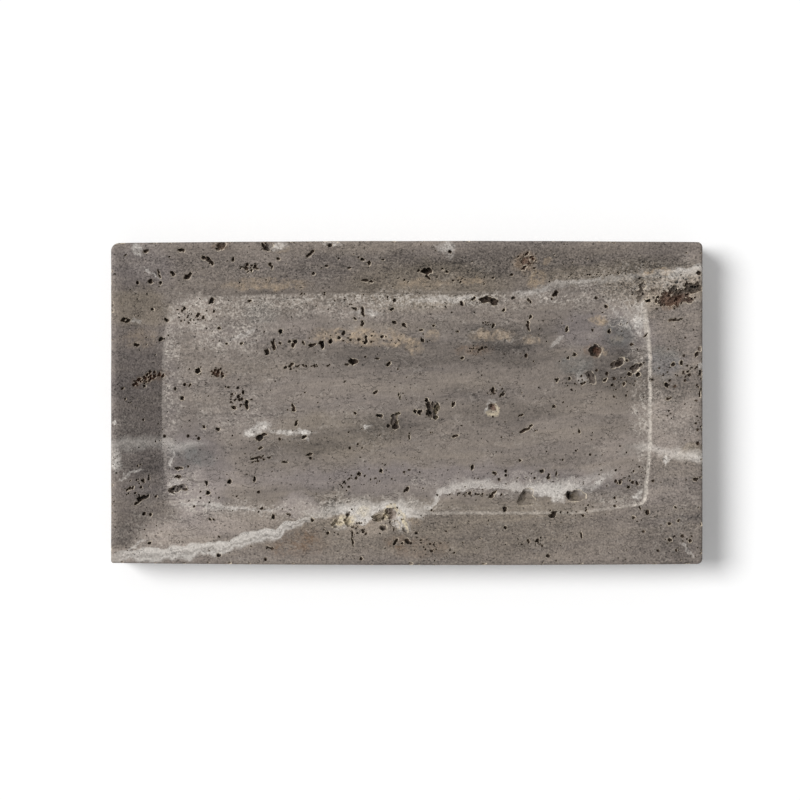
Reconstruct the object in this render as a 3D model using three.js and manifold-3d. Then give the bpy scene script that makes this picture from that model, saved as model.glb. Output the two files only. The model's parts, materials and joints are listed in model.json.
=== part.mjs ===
// A rectangular tray carved from one block of travertine, on four stick-on rubber feet.
// Millimetres, +Z up. The origin is on the table, under the middle of the tray.
// X runs along the tray's length and Y across it.
import * as THREE from "three";
import { mergeVertices } from "three/addons/utils/BufferGeometryUtils.js";
import Module from "manifold-3d";

// Stone block
const trayLength = 330;
const trayWidth = 180;
const stoneHeight = 24;
const outerCornerRadius = 3;
const topArrisRadius = 1.5;
const baseArrisRadius = 1;

// Carved basin: a narrow flat rim, four sloping sides that meet in hips, and a sunk flat floor
const rimLand = 1.2;
const rimHipRadius = 0.8;
const basinDepth = 13;
const floorInset = 28.5;
const floorCornerRadius = 7;
const floorStepHeight = 1.4;
const floorStepRun = 1.6;

// The larger natural pits of the stone that are open in the basin. For each: its place from the tray's middle
// in shares of the half length and half width, its length, width and depth, and its turn from X in degrees.
const pits = [
  [0.92, 0.653, 13, 6, 3, 15], [0.96, 0.7, 8, 5.5, 2.6, 20], [0.877, 0.648, 7, 4.5, 2.2, 10],
  [0.902, 0.714, 6, 4.5, 2, 60], [0.798, 0.681, 6, 7, 1.8, 10], [0.631, 0.163, 7.5, 4.5, 1.6, 125],
  [0.405, -0.588, 9, 7.2, 2.2, 0], [0.567, -0.582, 8.4, 6, 2.8, 0], [0.648, 0.331, 6.2, 5.6, 2.8, 90],
  [0.089, -0.045, 8.5, 6.5, 2, 90], [-0.043, -0.112, 8, 5.5, 1.8, 90], [0.294, -0.028, 5.4, 4.2, 1.6, 0],
  [0.723, 0.241, 8, 4, 1.6, 35], [0.781, 0.219, 6, 4, 1.6, 45], [-0.781, -0.537, 9, 4, 1.8, 10],
  [-0.495, -0.205, 6, 3, 2, 20], [-0.349, -0.213, 3.6, 3, 1.8, 30], [-0.185, 0.258, 4.6, 4, 2.2, 90],
  [-0.061, 0.245, 4, 3.2, 2, 50], [0.284, 0.642, 9, 3.2, 2, 0], [-0.713, 0.2, 4, 3.2, 2, 110],
  [-0.649, 0.191, 5, 3.6, 1.8, 0], [-0.389, 0.365, 3.8, 3.2, 1.8, 60], [-0.288, 0.37, 3.6, 3.4, 1.8, 0],
  [-0.477, 0.318, 4, 2.8, 1.8, 95], [-0.176, 0.589, 4.2, 2.8, 1.8, 160], [-0.095, -0.079, 5, 3.6, 2, 160],
  [0.037, -0.056, 4.4, 3.2, 1.8, 50], [-0.416, -0.371, 3.6, 2.8, 1.8, 0], [-0.542, -0.011, 5.4, 3, 1.8, 85],
  [0.294, 0.079, 3.8, 3, 1.8, 80], [-0.334, -0.321, 4.4, 2.8, 1.8, 10], [-0.606, -0.494, 3.4, 2.8, 1.8, 0],
  [-0.683, -0.5, 4.2, 3, 1.8, 75], [0.728, -0.498, 3.4, 2.8, 1.6, 90], [0.416, 0.483, 6, 2.4, 1.6, 115],
  [0.408, -0.163, 9, 2.2, 1.6, 28], [-0.387, -0.028, 5, 2.2, 1.6, 110], [0.515, 0.143, 3.4, 2.8, 1.8, 60],
  [-0.049, -0.692, 6.5, 6, 1.9, 40], [-0.098, -0.709, 7, 4, 1.8, 10], [-0.235, -0.76, 6, 4.6, 1.7, 15],
  [-0.195, -0.743, 5.5, 5, 1.8, 60], [-0.078, -0.778, 4.4, 4, 1.8, 0], [-0.9, -0.6, 10, 3, 2, 27],
  [0.067, 0.821, 5.4, 4.6, 2.2, 45], [-0.675, 0.888, 8, 3, 2, 130], [-0.329, 0.91, 5.4, 2.8, 1.8, 45],
  [-0.794, 0.803, 4, 3, 1.8, 120], [-0.869, 0.756, 3.6, 3, 1.8, 100], [-0.838, 0.4, 4.4, 2.8, 1.8, 30],
  [-0.945, 0.517, 5.4, 2.8, 1.8, 25], [-0.877, 0.156, 10, 3, 1.6, 25], [0.336, -0.666, 3.8, 3, 1.8, 90],
  [0.501, -0.694, 5.4, 3, 1.8, 40], [0.881, 0.113, 3.8, 3, 1.8, 20], [-0.548, 0.848, 5.4, 2.8, 1.8, 25],
  [0.402, 0.882, 7, 4, 1.2, 50], [0, -0.864, 4.4, 2.8, 1.8, 120], [0.816, -0.681, 3.4, 2.8, 1.6, 90],
];
const pitRaggedness = 0.22;
const pitLobes = 2.6;

// Stick-on feet
const footDiameter = 16;
const footHeight = 2.6;
const footTaper = 1.2;
const footEdgeRadius = 0.7;
const footInsetX = 30;
const footInsetY = 26;
const adhesiveDiameter = 14;
const adhesiveThickness = 0.6;

// Fineness of the round stretches
const cornerSteps = 8;
const arrisSteps = 3;
const coveSteps = 4;
const footSides = 40;
const pitSteps = 1;
const longPitSteps = 2;
const longPit = 6;

const stoneBase = footHeight + adhesiveThickness;
const floorHeight = stoneHeight - basinDepth;
const slopeTop = topArrisRadius + rimLand;
const stepTop = floorInset - floorStepRun;
const stepHeight = floorHeight + floorStepHeight;

const travertine = new THREE.MeshStandardMaterial({ color: 0x7d756d, roughness: 0.8, metalness: 0 });
const rubber = new THREE.MeshStandardMaterial({ color: 0x2b2927, roughness: 0.7, metalness: 0 });
const adhesive = new THREE.MeshStandardMaterial({ color: 0xcfcabd, roughness: 0.5, metalness: 0 });

// The stone's cross-section from the underside over the rim to the floor.
// x is the inset from the outer face and y the height above the underside.
function stoneProfile() {
  const base = new THREE.Path();
  base.absarc(baseArrisRadius, baseArrisRadius, baseArrisRadius, -Math.PI / 2, -Math.PI, true);
  const crest = new THREE.Path();
  const crestHeight = stoneHeight - topArrisRadius;
  crest.absarc(topArrisRadius, crestHeight, topArrisRadius, Math.PI, Math.PI / 2, true);
  const cove = new THREE.QuadraticBezierCurve(
    new THREE.Vector2(stepTop, stepHeight),
    new THREE.Vector2(stepTop + floorStepRun / 4, floorHeight),
    new THREE.Vector2(floorInset, floorHeight),
  );
  return [
    ...base.getPoints(arrisSteps),
    ...crest.getPoints(arrisSteps),
    new THREE.Vector2(slopeTop, stoneHeight),
    ...cove.getPoints(coveSteps),
  ];
}

// The corner radius of the ring at an inset. The outer face and the floor step keep parallel corners.
// On the slopes between them the hips open out from a crisp line at the rim to the floor's round corner.
function cornerRadiusAt(inset) {
  const rimRadius = Math.max(outerCornerRadius - slopeTop, rimHipRadius);
  const stepRadius = floorCornerRadius + floorStepRun;
  if (inset >= stepTop) return stepRadius - (inset - stepTop);
  if (inset <= slopeTop) return Math.max(outerCornerRadius - inset, rimHipRadius);
  return THREE.MathUtils.mapLinear(inset, slopeTop, stepTop, rimRadius, stepRadius);
}

// One ring of a rounded rectangle, counter-clockwise seen from above.
function roundedRing(halfLength, halfWidth, radius, height) {
  const ring = [];
  const quarters = [[1, 1], [-1, 1], [-1, -1], [1, -1]];
  quarters.forEach(([sideX, sideY], quarter) => {
    for (let step = 0; step <= cornerSteps; step++) {
      const angle = (quarter + step / cornerSteps) * (Math.PI / 2);
      ring.push(new THREE.Vector3(
        sideX * (halfLength - radius) + radius * Math.cos(angle),
        sideY * (halfWidth - radius) + radius * Math.sin(angle),
        height,
      ));
    }
  });
  return ring;
}

// Skins a stack of rings into one closed solid. The first ring is capped facing down, the last facing up.
function loftRings(rings) {
  const count = rings[0].length;
  const indices = [];
  const flat = (ring) => ring.map((p) => new THREE.Vector2(p.x, p.y));

  for (const [a, b, c] of THREE.ShapeUtils.triangulateShape(flat(rings[0]), [])) {
    indices.push(c, b, a);
  }
  for (let level = 0; level + 1 < rings.length; level++) {
    for (let i = 0; i < count; i++) {
      const next = (i + 1) % count;
      const low = level * count;
      const high = low + count;
      indices.push(low + i, low + next, high + next, low + i, high + next, high + i);
    }
  }
  const last = (rings.length - 1) * count;
  for (const [a, b, c] of THREE.ShapeUtils.triangulateShape(flat(rings.at(-1)), [])) {
    indices.push(last + a, last + b, last + c);
  }

  const geometry = new THREE.BufferGeometry().setFromPoints(rings.flat());
  geometry.setIndex(indices);
  return geometry;
}

const manifold = await Module();
manifold.setup();

// The solid that a closed geometry encloses, for cutting.
function solidOf(geometry) {
  return new manifold.Manifold(new manifold.Mesh({
    numProp: 3,
    vertProperties: Float32Array.from(geometry.attributes.position.array),
    triVerts: Uint32Array.from(geometry.index.array),
  }));
}

function geometryOf(solid) {
  const { vertProperties, triVerts } = solid.getMesh();
  const geometry = new THREE.BufferGeometry();
  geometry.setAttribute("position", new THREE.BufferAttribute(vertProperties, 3));
  geometry.setIndex(new THREE.BufferAttribute(triVerts, 1));
  geometry.computeVertexNormals();
  return geometry;
}

// The height of the basin's face at a place in plan, and the direction in which the face looks.
function basinFace(x, y) {
  const insetX = trayLength / 2 - Math.abs(x);
  const insetY = trayWidth / 2 - Math.abs(y);
  const inset = Math.min(insetX, insetY);
  if (inset >= stepTop) return { height: floorHeight, facing: new THREE.Vector3(0, 0, 1) };
  const height = THREE.MathUtils.mapLinear(inset, slopeTop, stepTop, stoneHeight, stepHeight);
  const drop = stoneHeight - stepHeight;
  const run = stepTop - slopeTop;
  const facing = insetX < insetY
    ? new THREE.Vector3(-Math.sign(x) * drop, 0, run)
    : new THREE.Vector3(0, -Math.sign(y) * drop, run);
  return { height, facing: facing.normalize() };
}

// The ragged lump that hollows out one pit, half sunk in the basin's face. The seed makes no two alike.
function pitLump([shareX, shareY, length, width, depth, turn], seed) {
  const ball = new THREE.IcosahedronGeometry(1, length > longPit ? longPitSteps : pitSteps);
  ball.deleteAttribute("normal");
  ball.deleteAttribute("uv");
  const lump = mergeVertices(ball);
  const position = lump.attributes.position;
  const point = new THREE.Vector3();
  for (let i = 0; i < position.count; i++) {
    point.fromBufferAttribute(position, i);
    const swell = Math.sin(pitLobes * point.x + seed) * Math.cos(pitLobes * point.y - 2 * seed);
    point.multiplyScalar(1 + pitRaggedness * swell);
    position.setXYZ(i, (point.x * length) / 2, (point.y * width) / 2, point.z * depth);
  }
  const x = (shareX * trayLength) / 2;
  const y = (shareY * trayWidth) / 2;
  const { height, facing } = basinFace(x, y);
  lump.rotateZ(THREE.MathUtils.degToRad(turn));
  lump.applyQuaternion(new THREE.Quaternion().setFromUnitVectors(new THREE.Vector3(0, 0, 1), facing));
  lump.translate(x, y, height);
  return lump;
}

function stoneTray() {
  const rings = stoneProfile().map((point) => roundedRing(
    trayLength / 2 - point.x,
    trayWidth / 2 - point.x,
    cornerRadiusAt(point.x),
    point.y,
  ));
  const block = solidOf(loftRings(rings));
  const pitted = pits.reduce((stone, pit, seed) => stone.subtract(solidOf(pitLump(pit, seed))), block);
  const mesh = new THREE.Mesh(geometryOf(pitted), travertine);
  mesh.name = "stone_tray";
  mesh.position.z = stoneBase;
  return mesh;
}

// A revolved piece standing on Z = 0, from a profile of radius and height that starts and ends on the axis.
function turned(profile) {
  const geometry = new THREE.LatheGeometry(profile, footSides);
  geometry.rotateX(Math.PI / 2);
  return geometry;
}

// A bumper foot: wide where it is stuck on, tapering to a flat tread with a rounded edge.
function footGeometry() {
  const topRadius = footDiameter / 2;
  const treadRadius = topRadius - footTaper;
  const edge = new THREE.QuadraticBezierCurve(
    new THREE.Vector2(treadRadius - footEdgeRadius, 0),
    new THREE.Vector2(treadRadius, 0),
    new THREE.Vector2(treadRadius + footTaper * (footEdgeRadius / footHeight), footEdgeRadius),
  );
  return turned([
    new THREE.Vector2(0, 0),
    ...edge.getPoints(arrisSteps),
    new THREE.Vector2(topRadius, footHeight),
    new THREE.Vector2(0, footHeight),
  ]);
}

function adhesiveGeometry() {
  const radius = adhesiveDiameter / 2;
  return turned([
    new THREE.Vector2(0, 0),
    new THREE.Vector2(radius, 0),
    new THREE.Vector2(radius, adhesiveThickness),
    new THREE.Vector2(0, adhesiveThickness),
  ]);
}

// One foot with the adhesive disc that bonds it to the stone, under one corner of the tray.
function footAssembly(corner, sideX, sideY) {
  const foot = new THREE.Mesh(footGeometry(), rubber);
  foot.name = `foot_${corner}`;
  const disc = new THREE.Mesh(adhesiveGeometry(), adhesive);
  disc.name = `adhesive_disc_${corner}`;
  disc.position.z = footHeight;

  const group = new THREE.Group();
  group.position.set(sideX * (trayLength / 2 - footInsetX), sideY * (trayWidth / 2 - footInsetY), 0);
  group.add(foot, disc);
  return group;
}

const tray = new THREE.Group();
tray.add(
  stoneTray(),
  footAssembly("front_left", -1, -1),
  footAssembly("front_right", 1, -1),
  footAssembly("rear_left", -1, 1),
  footAssembly("rear_right", 1, 1),
);

export default tray;
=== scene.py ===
import json
import math
import random

import bmesh
import bpy
import numpy as np
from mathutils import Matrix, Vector, kdtree, noise
from mathutils.bvhtree import BVHTree

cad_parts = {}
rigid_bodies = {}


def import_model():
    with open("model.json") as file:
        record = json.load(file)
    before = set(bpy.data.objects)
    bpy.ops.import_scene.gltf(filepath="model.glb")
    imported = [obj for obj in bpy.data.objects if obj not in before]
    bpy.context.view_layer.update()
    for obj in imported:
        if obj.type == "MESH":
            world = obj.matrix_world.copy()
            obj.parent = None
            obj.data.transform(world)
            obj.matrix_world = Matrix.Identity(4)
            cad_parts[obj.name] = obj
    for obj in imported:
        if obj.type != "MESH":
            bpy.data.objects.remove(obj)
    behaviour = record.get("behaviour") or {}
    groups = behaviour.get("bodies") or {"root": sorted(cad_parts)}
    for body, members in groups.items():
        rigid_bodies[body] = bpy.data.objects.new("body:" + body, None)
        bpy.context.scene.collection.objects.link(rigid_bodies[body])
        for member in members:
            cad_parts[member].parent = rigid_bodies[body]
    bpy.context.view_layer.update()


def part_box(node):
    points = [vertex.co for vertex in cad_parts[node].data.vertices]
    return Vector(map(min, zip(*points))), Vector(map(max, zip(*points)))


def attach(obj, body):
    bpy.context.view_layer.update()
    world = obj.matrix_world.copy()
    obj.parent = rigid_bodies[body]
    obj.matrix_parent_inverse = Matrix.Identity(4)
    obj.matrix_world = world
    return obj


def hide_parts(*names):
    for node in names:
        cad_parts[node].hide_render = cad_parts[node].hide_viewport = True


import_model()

MM = 0.001
BODY = "root"
CORNERS = ("front_left", "front_right", "rear_left", "rear_right")

# Both kinds of randomness start from this seed, so that every run gives the same stone
SEED = 41
random.seed(SEED)
noise.seed_set(SEED)

# Stone block: its box comes from the CAD part, and the section follows the CAD
stone_low, stone_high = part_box("stone_tray")
HALF_LENGTH = (stone_high.x - stone_low.x) / 2 / MM
HALF_WIDTH = (stone_high.y - stone_low.y) / 2 / MM
BASE_Z = stone_low.z / MM
RIM_Z = stone_high.z / MM
OUTER_CORNER = 3.0
CORNER_CHANGE = {(1, 1): 0.0, (-1, 1): 1.6, (-1, -1): -1.6, (1, -1): 0.0}
BASE_ARRIS = 1.0
TOP_ARRIS = 1.5
RIM_LAND = 1.2
RIM_HIP = 0.8
FLOOR_INSET = 28.5
FLOOR_CORNER = 8.5
STEP_HEIGHT = 1.4
STEP_RUN = 1.6
FLOOR_Z = RIM_Z - 13.0
SLOPE_TOP = TOP_ARRIS + RIM_LAND
STEP_TOP = FLOOR_INSET - STEP_RUN

# How far the hand-carved floor outline draws in beside each corner, on its long and short sides
DRAW_LONG = {(-1, 1): 4.0, (1, 1): 1.2, (1, -1): 4.5, (-1, -1): 1.5}
DRAW_SHORT = {(-1, 1): 3.0, (1, 1): 3.4, (1, -1): 2.6, (-1, -1): 3.6}
DRAW_LONG_FROM, DRAW_LONG_TO = 90.0, 134.0
DRAW_SHORT_FROM, DRAW_SHORT_TO = 22.0, 58.0

# How sharply that draw gathers toward the short sides and the long sides
DRAW_END_POWER = 14
DRAW_SIDE_POWER = 10

# Bow of the sawn long sides: the most, the x where it is, the reach of its curve, and how it gathers at them
BOW = 0.45
BOW_MIDDLE = 25.0
BOW_REACH = 175.0
BOW_POWER = 6

# The step round the floor is worn down to this share at the left, and whole past the second x
STEP_WORN = 0.2
STEP_FADE = (-40.0, 125.0)

# It is worn along the top too, from the first y to the second, up to where it fades out along x
STEP_TOP_FADE = (48.0, 60.0)
STEP_TOP_END = (122.0, 132.0)

# Nicks in the rim's edges and waves on the faces: size of the lumps and height of each layer
NICKS = ((5.0, 0.30), (1.9, 0.16))
WAVES = ((17.0, 0.07), (4.0, 0.03))
FLOOR_WAVE = 0.7
LEAST_NICK = -0.05
NICK_DROP = 0.5

# Where the nicks are: how far below the rim and in from the outer wall, each with its reach
CREST_DROP, CREST_TALL = 0.5, 1.2
CREST_INSET, CREST_WIDE = 1.2, 2.2

# A point this near a level counts as on it
LEVEL = 0.01

# Fineness of the stone's rings
LONG_STEPS = 110
SHORT_STEPS = 60
CORNER_STEPS = 8
SLOPE_RINGS = 9
WALL_RINGS = 5
BASE_STEPS = 3
CREST_STEPS = 5
COVE_STEPS = 6
UNDER_MARGIN = 0.8
LAND_MARGIN = 0.3
UNDER_SHARES = (0.9, 0.7, 0.45, 0.25, 0.1, 0.03)
FLOOR_SHARES = (0.01, 0.03, 0.07, 0.12, 0.18, 0.26, 0.35, 0.45, 0.56, 0.68, 0.8, 0.91)
SPINE_REACH = 70.0

# Camera: straight above, where one photo pixel covers this many millimetres of the rim's plane
PIXEL = 0.5574
VIEW_WIDTH = 800 * PIXEL
EYE_HEIGHT = 1200.0
EYE = Vector((-6.8 * PIXEL, 3.0 * PIXEL, RIM_Z + EYE_HEIGHT))
SENSOR = 36.0
CLIP_NEAR, CLIP_FAR = 0.05, 20.0


def smoothstep(value, start, end):
    """0 before start, 1 after end, smooth between them."""
    t = np.clip((value - start) / (end - start), 0, 1)
    return t * t * (3 - 2 * t)


def corner_radius(inset, change):
    """The ring's radius at a corner: crisp hips at the rim that open to the floor's round corners."""
    outer_radius = OUTER_CORNER + change
    rim_radius = max(outer_radius - SLOPE_TOP, RIM_HIP)
    step_radius = FLOOR_CORNER + STEP_RUN
    if inset >= STEP_TOP:
        return step_radius - (inset - STEP_TOP)
    if inset <= SLOPE_TOP:
        return max(outer_radius - inset, RIM_HIP)
    return float(np.interp(inset, (SLOPE_TOP, STEP_TOP), (rim_radius, step_radius)))


def rounded_ring(inset):
    """Points of a rounded rectangle, counter-clockwise from the upper end of the right side."""
    turn = np.linspace(0, math.pi / 2, CORNER_STEPS + 1)
    arcs = []
    for quarter, corner in enumerate(((1, 1), (-1, 1), (-1, -1), (1, -1))):
        radius = corner_radius(inset, CORNER_CHANGE[corner])
        angle = turn + quarter * math.pi / 2
        x = corner[0] * (HALF_LENGTH - inset - radius) + radius * np.cos(angle)
        y = corner[1] * (HALF_WIDTH - inset - radius) + radius * np.sin(angle)
        arcs.append(np.stack((x, y)))
    runs = []
    for quarter, arc in enumerate(arcs):
        after = arcs[(quarter + 1) % 4]
        steps = SHORT_STEPS if quarter % 2 else LONG_STEPS
        runs += [arc, np.linspace(arc[:, -1], after[:, 0], steps + 1, axis=1)[:, 1:-1]]
    return np.concatenate(runs, axis=1)


def hand_carved(x, y, inset):
    """Draws the basin's outline in beside its corners, most at the floor and not at all at the rim."""
    share = float(np.clip((inset - SLOPE_TOP) / (STEP_TOP - SLOPE_TOP), 0, 1))
    if share > 0:
        near_end = np.abs(x / (HALF_LENGTH - inset)) ** DRAW_END_POWER
        near_side = np.abs(y / (HALF_WIDTH - inset)) ** DRAW_SIDE_POWER
        pull_x = np.zeros_like(x)
        pull_y = np.zeros_like(y)
        for (side_x, side_y), depth in DRAW_SHORT.items():
            here = (x * side_x > 0) * smoothstep(y * side_y, DRAW_SHORT_FROM, DRAW_SHORT_TO)
            pull_x += side_x * depth * here * near_end
        for (side_x, side_y), depth in DRAW_LONG.items():
            here = (y * side_y > 0) * smoothstep(x * side_x, DRAW_LONG_FROM, DRAW_LONG_TO)
            pull_y += side_y * depth * here * near_side
        x = x - share * pull_x
        y = y - share * pull_y
    # The sawn outline bows out a little along the long sides and narrows to the left end
    bow = BOW - ((x - BOW_MIDDLE) / BOW_REACH) ** 2
    return x, y + np.sign(y) * bow * (np.abs(y) / HALF_WIDTH) ** BOW_POWER


def step_share(x, y):
    """How much is left of the step round the floor: crisp at the right, worn soft at the left and the top."""
    along_top = smoothstep(y, *STEP_TOP_FADE) * (1 - smoothstep(x, *STEP_TOP_END))
    return STEP_WORN + (1 - STEP_WORN) * smoothstep(x, *STEP_FADE) * (1 - along_top)


def step_rise(inset, height):
    """How much of a ring's height in the basin is owed to the step."""
    if inset <= STEP_TOP:
        return STEP_HEIGHT * max(0.0, inset - SLOPE_TOP) / (STEP_TOP - SLOPE_TOP)
    return height - FLOOR_Z


def section():
    """Inset and height of each ring, from the underside round the rim to the floor's edge."""
    rings = [(BASE_ARRIS + UNDER_MARGIN, BASE_Z)]
    for step in range(BASE_STEPS + 1):
        angle = math.radians(90 * step / BASE_STEPS)
        rings.append((BASE_ARRIS * (1 - math.sin(angle)), BASE_Z + BASE_ARRIS * (1 - math.cos(angle))))
    wall_low, wall_high = BASE_Z + BASE_ARRIS, RIM_Z - TOP_ARRIS
    for height in np.linspace(wall_low, wall_high, WALL_RINGS + 2)[1:-1]:
        rings.append((0.0, float(height)))
    for step in range(CREST_STEPS + 1):
        angle = math.radians(90 * step / CREST_STEPS)
        rings.append((TOP_ARRIS * (1 - math.cos(angle)), wall_high + TOP_ARRIS * math.sin(angle)))
    rings.append((SLOPE_TOP - LAND_MARGIN, RIM_Z))
    for share in np.linspace(0, 1, SLOPE_RINGS + 1):
        inset = SLOPE_TOP + share * (STEP_TOP - SLOPE_TOP)
        rings.append((inset, RIM_Z + share * (FLOOR_Z + STEP_HEIGHT - RIM_Z)))
    for t in np.linspace(0, 1, COVE_STEPS + 1)[1:]:
        inset = (1 - t) ** 2 * STEP_TOP + 2 * t * (1 - t) * (STEP_TOP + STEP_RUN / 4) + t * t * FLOOR_INSET
        height = (1 - t) ** 2 * STEP_HEIGHT
        rings.append((inset, FLOOR_Z + height))
    return rings


def toward_spine(ring, share):
    """A ring drawn in from the edge of a flat face toward the line along its middle."""
    x, y = ring
    spine = np.clip(x, -SPINE_REACH, SPINE_REACH)
    return x + share * (spine - x), y * (1 - share)


def stone_block():
    """The carved block before its pores are cut: a closed stack of rings."""
    rings = [(*hand_carved(*rounded_ring(inset), inset), inset, height) for inset, height in section()]
    under = rings[0][:2]
    floor = rings[-1][:2]
    stack = [(*toward_spine(under, share), HALF_WIDTH, BASE_Z) for share in UNDER_SHARES]
    stack += rings
    stack += [(*toward_spine(floor, share), HALF_WIDTH, FLOOR_Z) for share in FLOOR_SHARES]
    points = []
    for x, y, inset, height in stack:
        rise = step_rise(inset, height) if inset <= FLOOR_INSET else 0.0
        for px, py, worn in zip(x, y, rise * (1 - step_share(x, y))):
            points.append(worked(Vector((px, py, height - worn)), inset))
    count = len(under[0])
    levels = [list(range(level * count, (level + 1) * count)) for level in range(len(stack))]
    levels.insert(0, spine_points(points, BASE_Z))
    levels.append(spine_points(points, FLOOR_Z))
    faces = []
    for low, high in zip(levels, levels[1:]):
        for i in range(count):
            after = (i + 1) % count
            face = (low[i], low[after], high[after], high[i])
            faces.append(tuple(dict.fromkeys(face)))
    outline = [Vector((px, py, 0)) for px, py in zip(*floor)]
    return points, faces, outline


def spine_points(points, height):
    """Adds the points that close a flat face along its middle, and gives one for each point of a ring."""
    x, _ = rounded_ring(FLOOR_INSET)
    known = {}
    chosen = []
    for px in np.clip(x, -SPINE_REACH, SPINE_REACH):
        key = round(float(px), 3)
        if key not in known:
            known[key] = len(points)
            points.append(worked(Vector((key, 0, height)), HALF_WIDTH))
        chosen.append(known[key])
    return chosen


def worked(point, inset):
    """Small unevenness left by sawing and honing: nicked at the rim's edges, faint on the faces."""
    if point.z <= BASE_Z + LEVEL:
        return point
    crest = max(0.0, 1 - abs(point.z - RIM_Z + CREST_DROP) / CREST_TALL)
    crest *= max(0.0, 1 - abs(inset - CREST_INSET) / CREST_WIDE)
    nick = sum(noise.noise(point / size) * height for size, height in NICKS)
    away = Vector((point.x / HALF_LENGTH, point.y / HALF_WIDTH, 0)) * -1
    wave = sum((noise.noise_vector(point / size) * height for size, height in WAVES), Vector())
    if point.z <= FLOOR_Z + LEVEL:
        wave = Vector((wave.x, wave.y, wave.z * FLOOR_WAVE))
    return point + wave + (away * max(nick, LEAST_NICK) - Vector((0, 0, abs(nick) * NICK_DROP))) * crest


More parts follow.
